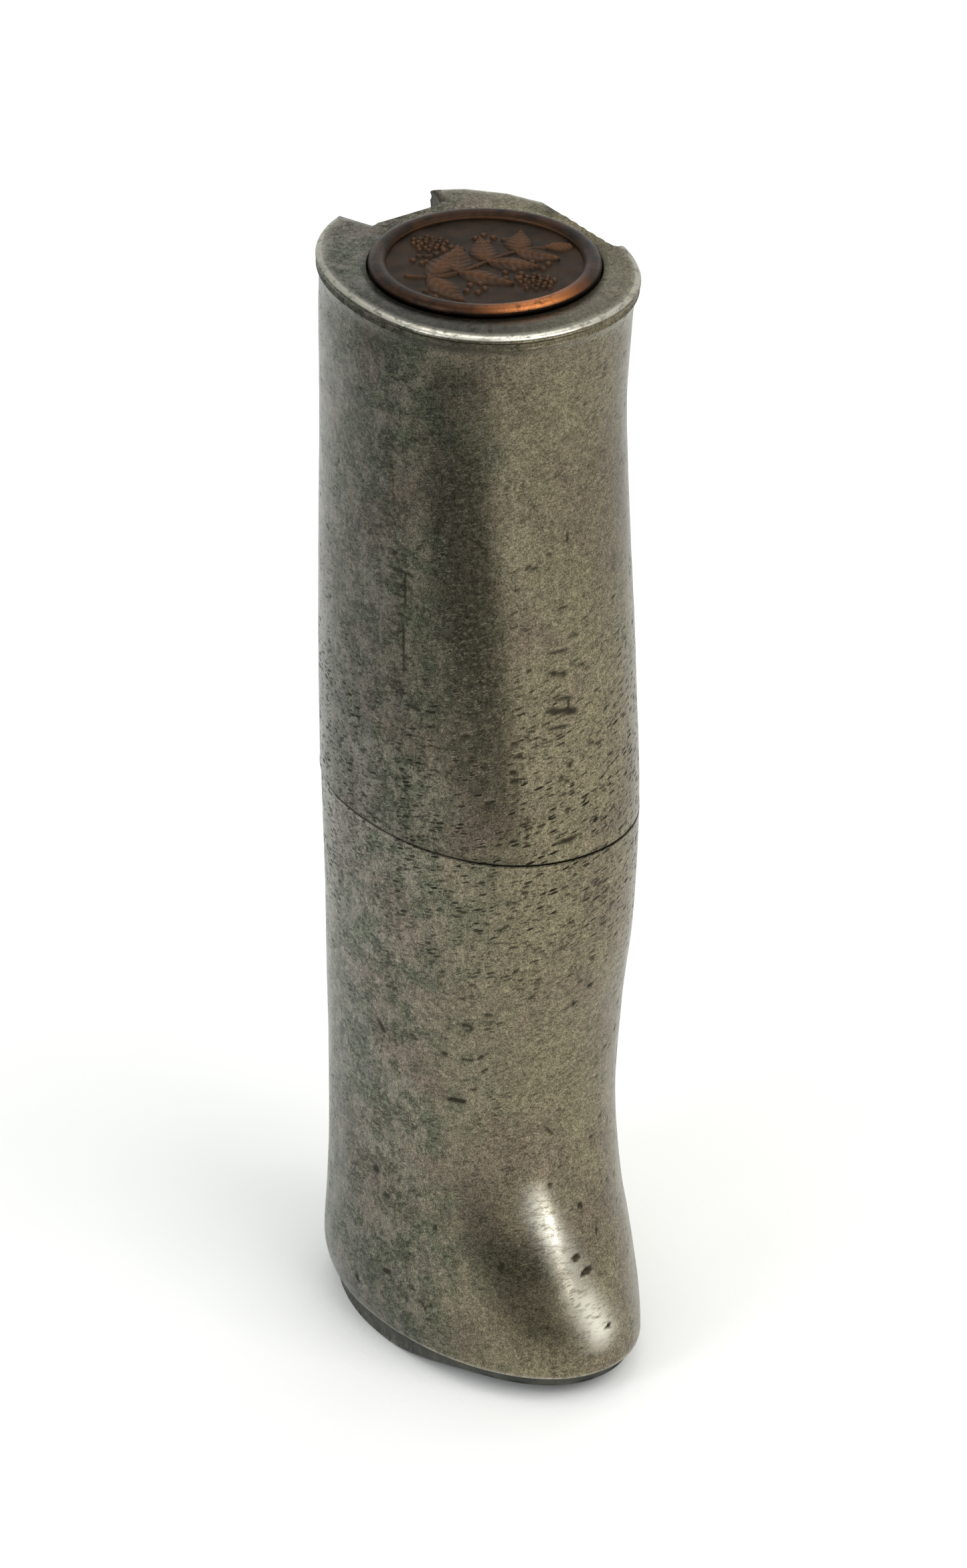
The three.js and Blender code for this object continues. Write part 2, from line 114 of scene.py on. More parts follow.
def solid(name, points, faces, crisp=CRISP):
    """An object with that mesh, smooth but for edges sharper than crisp degrees."""
    mesh = bpy.data.meshes.new(name)
    mesh.from_pydata((np.asarray(points) * MM).tolist(), [], faces)
    mesh.validate()
    smooth(mesh, crisp)
    return add(name, mesh)


def circle(radius, z, count, x=0.0, y=0.0):
    angle = np.arange(count) / count * TURN
    level = np.full(count, float(z))
    return np.stack([x + radius * np.cos(angle), y + radius * np.sin(angle), level], axis=1)


def lofted(name, rings, crisp=CRISP, through=False):
    """A piece over rings of points, each closed round. It has a fan at each end, or, if the rings go
    through a bore, they close on themselves."""
    rings = np.asarray(rings)
    levels, count = rings.shape[:2]
    points = rings.reshape(-1, 3)
    a = np.arange(levels * count).reshape(levels, count)
    b = np.roll(a, -1, axis=1)
    quads = np.stack([a, b, np.roll(b, -1, axis=0), np.roll(a, -1, axis=0)], axis=-1)
    if through:
        return solid(name, points, quads.reshape(-1, 4).tolist(), crisp)
    points = np.concatenate([points, rings[[0, -1]].mean(axis=1)])
    faces = quads[:-1].reshape(-1, 4).tolist()
    faces += [(levels * count, b[0, i], a[0, i]) for i in range(count)]
    faces += [(levels * count + 1, a[-1, i], b[-1, i]) for i in range(count)]
    return solid(name, points, faces, crisp)


def turned(name, profile, count=96, x=0.0, y=0.0):
    """A turned piece. Its profile of (radius, height) starts under the axis and ends on top of it."""
    return lofted(name, [circle(r, z, count, x, y) for r, z in profile])


def bored(name, profile, count):
    """A turned piece with a bore. Its profile runs up its outside and back down the bore."""
    return lofted(name, [circle(r, z, count) for r, z in profile], through=True)


def bore_cutter(radius, low, high, y=0.0, x=0.0):
    profile = [(radius * 0.3, low), (radius, low), (radius, high), (radius * 0.3, high)]
    return turned("hole", profile, 40, x, y)


def prism(name, plan, floor, roof):
    """A prism over a plan of (x, y) points. Its floor's height is a function of x and y."""
    count = len(plan)
    points = [(x, y, floor(x, y)) for x, y in plan] + [(x, y, roof) for x, y in plan]
    faces = [tuple(reversed(range(count))), tuple(range(count, 2 * count))]
    faces += [(i, (i + 1) % count, count + (i + 1) % count, count + i) for i in range(count)]
    return solid(name, points, faces)


def cut(thing, *cutters):
    """Takes the cutters away from the piece."""
    for cutter in cutters:
        step = thing.modifiers.new("cut", "BOOLEAN")
        step.operation, step.solver, step.object = "DIFFERENCE", "MANIFOLD", cutter
    evaluated = thing.evaluated_get(bpy.context.evaluated_depsgraph_get())
    mesh = bpy.data.meshes.new_from_object(evaluated)
    thing.modifiers.clear()
    thing.data = mesh
    smooth(mesh, CRISP)
    for cutter in cutters:
        bpy.data.objects.remove(cutter)
    return thing


def keep(thing, name, values):
    """Keeps a value with each point of the piece, for its material to read."""
    thing.data.attributes.new(name, "FLOAT", "POINT").data.foreach_set("value", values)


def paint(thing, name, measure):
    """Keeps measure(x, y, z), held between 0 and 1, with each point of the piece."""
    place = np.empty(len(thing.data.vertices) * 3)
    thing.data.vertices.foreach_get("co", place)
    x, y, z = (place.reshape(-1, 3) / MM).T
    keep(thing, name, unit(measure(x, y, z)) * np.ones(len(x)))


def unit(value):
    """The value, held between 0 and 1."""
    return np.clip(value, 0, 1)


def hill(value, middle, width):
    """1 at the middle, falling away to 0 on both sides."""
    return np.exp(-(((value - middle) / width) ** 2))


def ease(share):
    """0 to 1 with a soft start and a soft end."""
    return share * share * (3 - 2 * share)


def swell(value, power):
    """The value's size raised to that power, with its sign kept."""
    return np.sign(value) * np.abs(value) ** power


# ---- the castings' outer form ----
def outline_at(z):
    """The outline's half width, depths and crest at each height, on a smooth curve through OUTLINE."""
    heights, rows = OUTLINE[:, 0], OUTLINE[:, 1:]
    last = len(rows) - 1
    before = np.maximum(np.arange(last + 1) - 1, 0)
    after = np.minimum(np.arange(last + 1) + 1, last)
    slope = (rows[after] - rows[before]) / (heights[after] - heights[before])[:, None]
    i = np.clip(np.searchsorted(heights, z) - 1, 0, last - 1)
    span = (heights[i + 1] - heights[i])[..., None]
    t = np.asarray(z - heights[i])[..., None] / span
    bow = span * t * (1 - t) * ((1 - t) * slope[i] - t * slope[i + 1])
    return rows[i] + (rows[i + 1] - rows[i]) * ease(t) + bow


def outline_ring(z, inset=0.0):
    """Points around the boot at height z, which is one number or one for each point."""
    angle = np.arange(COLUMNS) / COLUMNS * TURN
    z = np.broadcast_to(np.asarray(z, float), (COLUMNS,))
    half, front, back, crest = np.moveaxis(outline_at(z), -1, 0)
    across, along = (swell(part, 2 / OUTLINE_POWER) for part in (np.cos(angle), np.sin(angle)))
    forward = np.maximum(0, -np.sin(angle))
    x = half * across * (1 - crest * forward * forward)
    y = along * np.where(along < 0, front, back)
    ring = np.stack([x, y, z], axis=1)
    return ring - outward(ring) * np.reshape(inset, (-1, 1))


def outward(ring):
    """The level direction out of a ring, at each of its points."""
    way = np.roll(ring, -1, axis=-2) - np.roll(ring, 1, axis=-2)
    out = np.stack([way[..., 1], -way[..., 0], np.zeros(way.shape[:-1])], axis=-1)
    return out / np.linalg.norm(out, axis=-1, keepdims=True)


def between(ring, other, share):
    return ring * (1 - share) + other * share


def rounding(distance, radius):
    """How far an edge of that radius is inset, at a distance from the end of the wall."""
    left = unit(1 - distance / radius)
    return radius * (1 - np.sqrt(1 - left * left))


# ---- marks on the castings ----
# each mark's angle around the axis (-90 is the toe), height, length, width, depth and slant from level,
# in degrees and millimetres
MARKS = (
    (-91, 68.9, 0.75, 0.2, 0.07, 80), (-105, 67.2, 0.6, 0.16, 0.04, 0), (-95, 63.9, 0.8, 0.16, 0.06, 0),
    (-91, 61.6, 1.0, 0.14, 0.05, 0), (-97, 60.6, 1.5, 0.14, 0.06, -3), (-92, 59.5, 0.7, 0.12, 0.04, 0),
    (-98, 59.0, 1.4, 0.2, 0.1, -12), (-95, 57.0, 1.5, 0.13, 0.06, -5), (-94, 56.6, 0.6, 0.12, 0.05, 85),
    (-97, 56.1, 2.1, 0.28, 0.14, -9), (-98, 55.0, 1.6, 0.12, 0.05, 0), (-130, 61.4, 0.5, 0.24, 0.09, 35),
    (-129, 59.6, 0.4, 0.2, 0.05, 60), (-148, 55.6, 0.8, 0.22, 0.08, -10), (-159, 67.2, 0.6, 0.22, 0.08, 20),
    (-157, 65.9, 2.2, 0.14, 0.07, 0), (-155, 64.8, 0.9, 0.16, 0.06, 0), (-157, 64.0, 1.1, 0.16, 0.05, 0),
    (-155, 62.6, 0.7, 0.18, 0.06, 10), (-156, 61.2, 0.8, 0.16, 0.05, 15), (-153, 59.4, 0.9, 0.16, 0.05, 10),
    (-128, 54.4, 0.7, 0.22, 0.08, 10), (-113, 54.1, 0.5, 0.22, 0.07, 20), (-111, 53.1, 0.5, 0.2, 0.07, 25),
    (-113, 51.9, 0.5, 0.24, 0.09, 0), (-113, 51.2, 0.55, 0.22, 0.09, 0), (-95, 51.9, 0.4, 0.2, 0.06, 0),
    (-96, 48.6, 0.5, 0.24, 0.08, 10), (-121, 49.4, 0.6, 0.2, 0.07, 20), (-97, 46.2, 1.5, 0.3, 0.06, 10),
    (-174, 42.1, 0.45, 0.2, 0.08, 70), (-86, 33.1, 0.6, 0.24, 0.08, 10), (-92, 31.9, 0.4, 0.26, 0.09, 80),
    (-120, 31.6, 0.6, 0.2, 0.07, 0), (-127, 30.4, 0.8, 0.22, 0.08, 0), (-167, 27.6, 1.2, 0.3, 0.06, -45),
    (-149, 28.1, 0.9, 0.18, 0.06, -30), (-135, 27.5, 0.5, 0.22, 0.07, 0), (-127, 27.3, 0.9, 0.16, 0.07, 0),
    (-131, 23.6, 1.3, 0.28, 0.1, 5), (-98, 21.1, 0.9, 0.18, 0.06, -45), (-94, 11.4, 0.6, 0.25, 0.16, 12),
    (-92, 10.3, 0.85, 0.27, 0.2, 24), (-115, 10.7, 0.4, 0.32, 0.13, 0), (-138, 12.4, 0.35, 0.22, 0.08, 0),
    (-171, 14.9, 0.7, 0.4, 0.07, 0), (-163, 13.2, 0.5, 0.2, 0.07, 20), (-162, 6.9, 0.6, 0.3, 0.09, 10),
    (-147, 6.7, 0.6, 0.18, 0.06, -40), (-143, 5.7, 0.7, 0.22, 0.08, -50), (-139, 5.9, 0.5, 0.2, 0.06, 20),
    (-88, 5.7, 0.6, 0.2, 0.08, 25), (-90, 14.9, 0.5, 0.3, 0.07, 60), (-86, 12.7, 0.5, 0.16, 0.06, 70),
    (-99, 16.9, 0.35, 0.2, 0.07, 40), (179, 4.4, 0.7, 0.3, 0.06, -60),
)
SCORE = (-154, 56.4, 65.8, 0.13, 0.06)  # a long upright scratch: angle, foot, top, width and depth
PITS = 700
MARK_BLACK = 0.028  # a mark of this depth is quite dark
WAVE = 0.03  # how far the hand-finished surface waves


def scattered_marks():
    """Small casting pits all round: short dents that climb to the right, thickest above the seam."""
    dice = np.random.default_rng(11)
    found = []
    while len(found) < PITS:
        angle, z, chance = dice.uniform(-180, 180), dice.uniform(4, 82), dice.random()
        middle = 0.08 + 0.92 * exp(-(((z - 46) / 10) ** 2))
        length, depth = dice.uniform(0.3, 0.62), dice.uniform(0.015, 0.05)
        width, slant = dice.uniform(0.1, 0.17), dice.normal(20, 12)
        if chance < middle:
            found.append((angle, z, length, width, depth, slant))
    return found


def dent(points, out, mark):
    """How deep one mark is at each point of the wall."""
    angle, z, length, width, depth, slant = mark
    angle, slant = radians(angle), radians(slant)
    toward = np.array([cos(angle), sin(angle)])
    level = np.abs(points[:, 0, 2] - z)
    rows = np.nonzero(level < length + width + 1.5)[0]
    if not len(rows):
        return 0, slice(0, 0)
    span = slice(rows[0], rows[-1] + 1)
    some = points[span]
    middle = some[len(some) // 2]
    column = np.argmax(middle[:, :2] @ toward / np.linalg.norm(middle[:, :2], axis=1))
    normal = out[span][len(some) // 2][column]
    around = np.array([-normal[1], normal[0], 0])
    offset = some - np.array([*middle[column, :2], z])
    u, v = offset @ around, offset[..., 2]
    facing = (out[span] @ normal) > 0.5
    along = (u * cos(slant) + v * sin(slant)) / (length / 2)
    across = (v * cos(slant) - u * sin(slant)) / max(width * 0.66, 0.105)
    return depth * np.exp(-(along**2) ** 1.5 - across**2) * facing, span


def rough_cast(points, smooth_ends):
    """Pushes a wall of rings in at its marks and lets it wave slightly, as a hand-finished casting
    does. Returns the depth of the marks at each point."""
    out = outward(points)
    depth = np.zeros(points.shape[:2])
    for mark in [*MARKS, *scattered_marks()]:
        dented, span = dent(points, out, mark)
        depth[span] = np.maximum(depth[span], dented)
    angle, low, high, width, deep = SCORE
    c, s = cos(radians(angle)), sin(radians(angle))
    x, y, z = np.moveaxis(points, -1, 0)
    inside = (z > low) & (z < high) & (x * c + y * s > 0)
    depth = np.maximum(depth, deep * np.exp(-(((x * s - y * c) / width * 2) ** 2)) * inside)
    wave = np.sin(0.9 * x + 0.31 * z + 1.3) * np.sin(0.8 * y - 0.23 * z) * 0.5
    wave += np.sin(1.9 * x - 0.8 * z) * np.sin(1.7 * y + 1.1 * z + 0.7) * 0.25
    points -= out * ((depth + WAVE * (wave + 0.75)) * smooth_ends)[..., None]
    return depth


def fade_ends(share, ends=0.012):
    return unit(np.minimum(share, 1 - share) / ends)[:, None]


def sole_edge(y):
    return SOLE_EDGE_TOE_Z + SOLE_EDGE_SLOPE * (y - TOE_Y)


def keep_near(thing, name, points, values, reach=0.02):
    """Gives each point of the piece the value of the nearest of these points, if it is on one."""
    tree = KDTree(len(points))
    for k, point in enumerate(points):
        tree.insert(point, k)
    tree.balance()
    kept = np.zeros(len(thing.data.vertices))
    for k, vertex in enumerate(thing.data.vertices):
        _, found, distance = tree.find(vertex.co / MM)
        if distance is not None and distance < reach:
            kept[k] = min(1, values[found])
    keep(thing, name, kept)


def keep_marks(thing, wall, depth):
    marked = depth > 0.01
    keep_near(thing, "mark", wall[marked], depth[marked] / MARK_BLACK)


# ---- lower casting ----
TUCK_ANGLE, TUCK_REACH = 152, 36  # where the heel draws in above the sole, in degrees
TUCK_HIGH, TUCK_DEEP = 3.8, 0.9
PLAN_Z = 3.0  # the height whose outline gives the foot's plan


def tucked_side():
    """1 at the back on the -X side, where the foot draws in above the sole, and 0 on the other side."""
    return hill(np.arange(COLUMNS) / COLUMNS * 360, TUCK_ANGLE, TUCK_REACH)


def make_boot():
    levels, edge, seam_edge = 200, 0.3, 0.05
    share = np.sort([*np.linspace(0, 1, levels), 0.9965, 0.9985])
    wall = []
    low = sole_edge(outline_ring(PLAN_Z)[:, 1])
    tuck = TUCK_DEEP / TUCK_HIGH * tucked_side()
    for part in share:
        z = low + (SEAM_Z - low) * part
        inset = rounding(z - low, edge) + rounding(SEAM_Z - z, seam_edge)
        inset = inset + tuck * rounding(z - low, TUCK_HIGH)
        wall.append(outline_ring(z, inset))
    wall = np.array(wall)
    depth = rough_cast(wall, fade_ends(share))
    foot, rim = wall[0], wall[-1]
    middle = foot.mean(axis=0)
    under = [between(np.broadcast_to(middle, foot.shape), foot, part) for part in (0.2, 0.6, 0.9)]
    for ring in under:
        ring[:, 2] = sole_edge(ring[:, 1])
    mouth = circle(BORE_R + 0.15, SEAM_Z, COLUMNS)
    face = [between(rim, mouth, part) for part in (0.1, 0.3, 0.6, 0.9, 1.0)]
    bore = [circle(BORE_R, SEAM_Z - 0.15, COLUMNS), circle(BORE_R, BORE_FLOOR_Z, COLUMNS)]
    floor = [circle(BORE_R * part, BORE_FLOOR_Z, COLUMNS) for part in (0.7, 0.3)]
    boot = lofted("boot_casting", [*under, *wall, *face, *bore, *floor])
    screws = [bore_cutter(SCREW_SHANK_R + HEAD_ROOM, 0, 9.3, y) for y in SCREW_Y]
    cut(boot, bore_cutter(2.6, 10, 14), bore_cutter(0.95, 37.85, 46, DOWEL_Y), *screws)
    keep_marks(boot, wall, depth)
    return boot


# ---- cap ----
NOTCH_SLOPE = tan(radians(36))
FLAT_SLOPE = tan(radians(40))
CAP_MISFIT = 0.1
BEAD_WEAR = (0.3, 0.9, 1, 1, 1, 0.95, 0.4)  # how worn each ring over the rolled edge is, its polished brightness partly a painted highlight
COVE_HIGH = 0.95  # how far below the crown the cove begins
CROWN_DISH = (0, 0, 0.02, 0.07, 0.15, 0.24, 0.26)  # how far each ring of the crown's face is sunk


def thumb_notch():
    """The cutter for the notch at the back of the crown: a straight wall on one side, a scoop on the
    other, and a floor that falls outwards."""
    inner_y = 9.3
    scoop = [(-3.9, 14.0), (-3.6, 12.4), (-3.4, 11.6), (-3.15, 10.9), (-2.95, 10.3), (-2.65, 9.75)]
    scoop += [(-2.15, 9.42), (-1.3, 9.36), (-0.2, inner_y), (0.9, 9.24), (2.0, 9.3)]
    plan = [*scoop, (2.8, 9.3), (3.25, 9.45), (3.55, 9.9), (3.85, 10.8), (4.05, 11.8), (4.3, 14.0)]
    return prism("notch", plan, lambda x, y: CROWN_Z - NOTCH_SLOPE * (y - inner_y), CROWN_Z + 1)


def soften(start, end, steps):
    """Cutters that round off the crown's edge over a line, to its left. Each step is an angle in degrees
    and how far from the line its cut begins."""
    start, end = np.array(start), np.array(end)
    way = (end - start) / np.linalg.norm(end - start)
    left = np.array([-way[1], way[0]])
    cutters = []
    for angle, reach in steps:
        plan = [start - 0.3 * left, end - 0.3 * left, end + reach * left, start + reach * left]

        def floor(x, y, slope=tan(radians(angle)), reach=reach):
            return CROWN_Z - slope * (reach - (np.array([x, y]) - start) @ left)

        cutters.append(prism("soft_edge", plan, floor, CROWN_Z + 1))
    return cutters


def side_flat():
    """The cutter for the filed flat on the side of the crown, with the scallops that the file left."""
    inner_x = 9.25
    plan = [(13.0, -3.4), (10.2, -3.3)]
    for y in np.linspace(-3.15, 6.4, 78):
        curve = inner_x - 0.045 * max(0, y - 2.4) ** 2 + 0.3 * exp(-(((y + 3.2) / 0.25) ** 2))
        plan.append((curve + 0.09 * abs(sin(pi * y / 1.05)), float(y)))
    plan += [(13.0, 6.9)]
    plan.reverse()
    return prism("flat", plan, lambda x, y: CROWN_Z - FLAT_SLOPE * (x - inner_x), CROWN_Z + 1)


def crown_scallops(ring):
    """Small file bites along the rim, from the flat round to the notch."""
    angle = np.degrees(np.arctan2(ring[..., 1], ring[..., 0]))
    bite = np.abs(np.sin(np.radians(angle) * 12)) * 0.11
    return bite * unit((angle - 20) / 8) * unit((74 - angle) / 3)


def crown_bead():
    """The rolled edge of the crown, over a cove: rings from the top of the wall to the crown's face."""
    cove, bead, bead_high = 0.24, 0.45, 0.26
    section = [(0.05, 0.06), (0.13, 0.13), (0.21, 0.19), (0.3, cove), (0.39, cove)]
    section += [(0.46, 0.19), (0.52, 0.1), (0.58, 0.03), (0.64, 0.0), (0.69, 0.01)]
    roll = [outline_ring(CROWN_Z - COVE_HIGH + up, inset) for up, inset in section]
    for step in np.linspace(0, 1, 8)[1:]:
        turn = step * pi / 2
        ring = outline_ring(CROWN_Z - bead_high, 0.01 + bead * (1 - cos(turn)))
        ring[:, 2] = CROWN_Z - bead_high * (1 - sin(turn))
        roll.append(ring)
    roll = np.array(roll)
    share = unit((roll[..., 2] - CROWN_Z + 0.4) / 0.3)
    return roll - outward(roll) * (crown_scallops(roll) * share)[..., None]


def make_cap():
    levels, seam_edge = 190, 0.05
    wall_high = CROWN_Z - COVE_HIGH
    share = np.sort([*np.linspace(0, 1, levels), 0.0015, 0.0035])
    heights = CAP_LOW + (wall_high - CAP_LOW) * share
    wall = np.array([outline_ring(z, rounding(z - CAP_LOW, seam_edge)) for z in heights])
    loose = unit(1 - (wall[..., 2] - CAP_LOW) / 14) ** 2
    wall[..., 0] -= CAP_MISFIT * loose * unit(-wall[..., 0] / 10)
    depth = rough_cast(wall, fade_ends(share))
    roll = crown_bead()
    rim = roll[-1]
    lip = circle(RECESS_R + 0.1, CROWN_Z, COLUMNS, MEDAL_X)
    crown = [between(rim, lip, part) for part in (0.15, 0.35, 0.5, 0.65, 0.8, 0.95, 1.0)]
    for ring, sunk in zip(crown, CROWN_DISH, strict=True):
        ring[:, 2] -= sunk
    recess = [(RECESS_R, CROWN_Z - CROWN_DISH[-1] - 0.1), (RECESS_R, RECESS_FLOOR_Z + 0.12)]
    recess += [(r, RECESS_FLOOR_Z) for r in (RECESS_R - 0.12, RECESS_R * 0.6, RECESS_R * 0.2)]
    recess = [circle(r, z, COLUMNS, MEDAL_X) for r, z in recess]
    inside = [(CAVITY_R * part, CEILING_Z) for part in (0.3, 0.7, 1)]
    inside += [(CAVITY_R, SLEEVE_TOP_Z), (SLEEVE_R, SLEEVE_TOP_Z)]
    inside += [(SLEEVE_R, CAP_LOW + 0.3), (SLEEVE_R + 0.2, CAP_LOW)]
    inside = [circle(r, z, COLUMNS) for r, z in inside]
    face = [between(inside[-1], wall[0], part) for part in (0.2, 0.5, 0.8)]
    cap = lofted("cap_casting", [*inside, *face, *wall, *roll, *crown, *recess])
    dowel_hole = bore_cutter(1.05, CAP_LOW - 1, 49.4, DOWEL_Y)
    shank_hole = bore_cutter(1.35, CEILING_Z - 1, CROWN_Z, 0, MEDAL_X)
    horn = soften((-2.1, 9.42), (-3.9, 14.0), ((13, 1.2), (27, 0.85), (41, 0.6), (55, 0.4)))
    wall_top = soften((4.4, 14.0), (3.5, 9.6), ((18, 0.7), (36, 0.42), (54, 0.24)))
    cut(cap, thumb_notch(), side_flat(), *horn, *wall_top, dowel_hole, shank_hole)
    keep_marks(cap, wall, depth)
    # The bead is polished brighter towards the front: partly real rubbing, partly a painted highlight.
    rubbed = roll[-len(BEAD_WEAR):]
    front = 0.45 + 0.55 * hill(turn_at(rubbed[..., 0], rubbed[..., 1]), -115, 45)
    worn = np.array(BEAD_WEAR)[:, None] * front
    keep_near(cap, "wear_and_painted_highlight", rubbed.reshape(-1, 3), worn.ravel())
    return cap


# ---- sole and its screws ----
SOLE_HALF, SOLE_FRONT, SOLE_BACK = 9.35, 16.5, 11.5
SOLE_FLAT_END, SOLE_RISE_END, SOLE_TOE_RISE = -2.0, -11.5, 1.1
SOLE_GAP = 0.15
SOLE_TUCK = 0.7  # how far the sole is drawn in at the heel
HEAD_ROOM = 0.15  # how far a screw's hole clears it


def toe_lift(y):
    return SOLE_TOE_RISE * ease(unit((SOLE_FLAT_END - y) / (SOLE_FLAT_END - SOLE_RISE_END)))


def make_sole():
    plan = outline_ring(PLAN_Z)
    x, y = plan[:, 0].copy(), plan[:, 1].copy()
    plan[:, 0] = x / x.max() * SOLE_HALF
    plan[:, 1] = np.where(y < 0, y / -y.min() * SOLE_FRONT, y / y.max() * SOLE_BACK)
    plan -= outward(plan) * (SOLE_TUCK * tucked_side())[:, None]
    normal = outward(plan)
    rings = []
    for part in (0.15, 0.4, 0.7, 0.88):
        ring = plan * part
        ring[:, 2] = toe_lift(ring[:, 1])
        rings.append(ring)
    edge, steps = 0.3, 6
    for step in range(steps + 1):
        turn = step / steps * pi / 2
        ring = plan - normal * edge * (1 - sin(turn))
        ring[:, 2] = toe_lift(ring[:, 1]) + 0.15 * (1 - cos(turn))
        rings.append(ring)
    low = rings[-1][:, 2]
    high = sole_edge(plan[:, 1]) - SOLE_GAP
    for part in np.linspace(0, 1, 14)[1:]:
        ring = plan.copy()
        ring[:, 2] = low + (high - low) * part
        wobble = np.sin(ring[:, 0] * 2.1 + ring[:, 2] * 3) * np.sin(ring[:, 1] * 1.7 - ring[:, 2] * 2)
        ring -= normal * (0.05 + 0.04 * wobble)[:, None]
        rings.append(ring)
    for part in (0.8, 0.3):
        ring = rings[-1] * part
        ring[:, 2] = sole_edge(ring[:, 1]) - SOLE_GAP
        rings.append(ring)
    wide, narrow = SCREW_HEAD_R + HEAD_ROOM, SCREW_SHANK_R + HEAD_ROOM
    profile = [(0.2, -1), (wide, -1), (wide, 0.35), (narrow, 1.2), (narrow, 6), (0.2, 6)]
    holes = [turned("hole", profile, 48, 0, y) for y in SCREW_Y]
    return cut(lofted("sole_dark", rings), *holes)


def make_screw(name, y):
    head, shank = SCREW_HEAD_R, SCREW_SHANK_R
    profile = [(0.2, 0.33), (head - 0.3, 0.35), (head - 0.08, 0.4), (head, 0.5)]
    profile += [(shank, 1.2), (shank, 8.0), (0.2, 9.0)]
    slot = [(-3, y - 0.25), (3, y - 0.25), (3, y + 0.25), (-3, y + 0.25)]
    return cut(turned(name, profile, 64, 0, y), prism("slot", slot, lambda x, y: 0.0, 0.8))


# ---- medallion ----
def ridge(x, y, start, end, wide, thin, height):
    """A rounded ridge between two points, wide at its start and thin at its end."""
    way = np.subtract(end, start)
    t = unit(((x - start[0]) * way[0] + (y - start[1]) * way[1]) / (way @ way))
    radius = wide + (thin - wide) * t
    away = np.hypot(x - start[0] - t * way[0], y - start[1] - t * way[1])
    return height * np.sqrt(unit(1 - (away / radius) ** 2))


def leaf(x, y, base, lean, length, width, height):
    """A pointed leaf with a middle rib and side veins. Its lean is in degrees from +X."""
    c, s = cos(radians(lean)), sin(radians(lean))
    u = ((x - base[0]) * c + (y - base[1]) * s) / length
    v = (y - base[1]) * c - (x - base[0]) * s
    half = width * np.sin(pi * np.clip(u, 0.001, 0.999) ** 0.8)
    body = np.sqrt(unit(1 - (v / half) ** 2)) * ((u > 0) & (u < 1))
    veins = 0.5 + 0.5 * np.cos(TURN * (7 * u - 1.3 * np.abs(v) / width))
    rib = np.exp(-((v / 0.07) ** 2)) * (body > 0)
    return height * body * (0.72 + 0.28 * veins) + 0.1 * rib


def berry(x, y, root, turn, reach, radius, height):
    """A round berry, in that direction and at that distance from its root."""
    away = np.hypot(x - root[0] - reach * cos(turn), y - root[1] - reach * sin(turn))
    return height * np.sqrt(unit(1 - (away / radius) ** 2))


BERRIES = ((-0.42, 2.3), (-0.14, 2.75), (0.14, 2.2), (0.4, 2.6), (0.02, 3.4), (0.25, 3.3))


def sprig(x, y):
    """A plain leafy sprig with berries, in no particular plant's likeness."""
    stem_x = np.linspace(-5.6, 4.4, 15)
    stem_y = 0.25 * stem_x + 1.1 * np.sin(0.5 * stem_x)
    stem = list(zip(stem_x, stem_y, strict=True))
    parts = [ridge(x, y, a, b, 0.2, 0.16, 0.2) for a, b in zip(stem[:-1], stem[1:], strict=True)]
    heading = np.degrees(np.arctan2(np.gradient(stem_y), np.gradient(stem_x)))
    for k in range(2, 14, 3):
        for side in (-1, 1):
            parts.append(leaf(x, y, stem[k], heading[k] + side * (62 - k), 5.0 - 0.15 * k, 1.05, 0.26))
    parts.append(leaf(x, y, stem[-1], heading[-1] + 4, 2.4, 0.8, 0.26))
    for k in range(23):
        for centre in ((-3.6, 3.2), (3.3, -3.3)):
            parts.append(berry(x, y, centre, 2.4 * k, 0.27 * sqrt(k + 0.5), 0.2, 0.26))
    for k in (1, 4, 7, 10):
        for side in (-1, 1):
            lean = radians(heading[k] + 78 * side)
            for turn, reach in BERRIES:
                parts.append(berry(x, y, stem[k], lean + turn, reach, 0.25, 0.24))
    return np.max(parts, axis=0) * unit((6.8 - np.hypot(x, y)) / 0.25)


MEDAL_INNER = 6.95
MEDAL_FIELD = 85.42
MEDAL_RELIEF = 0.34
MEDAL_TURN = radians(-30)


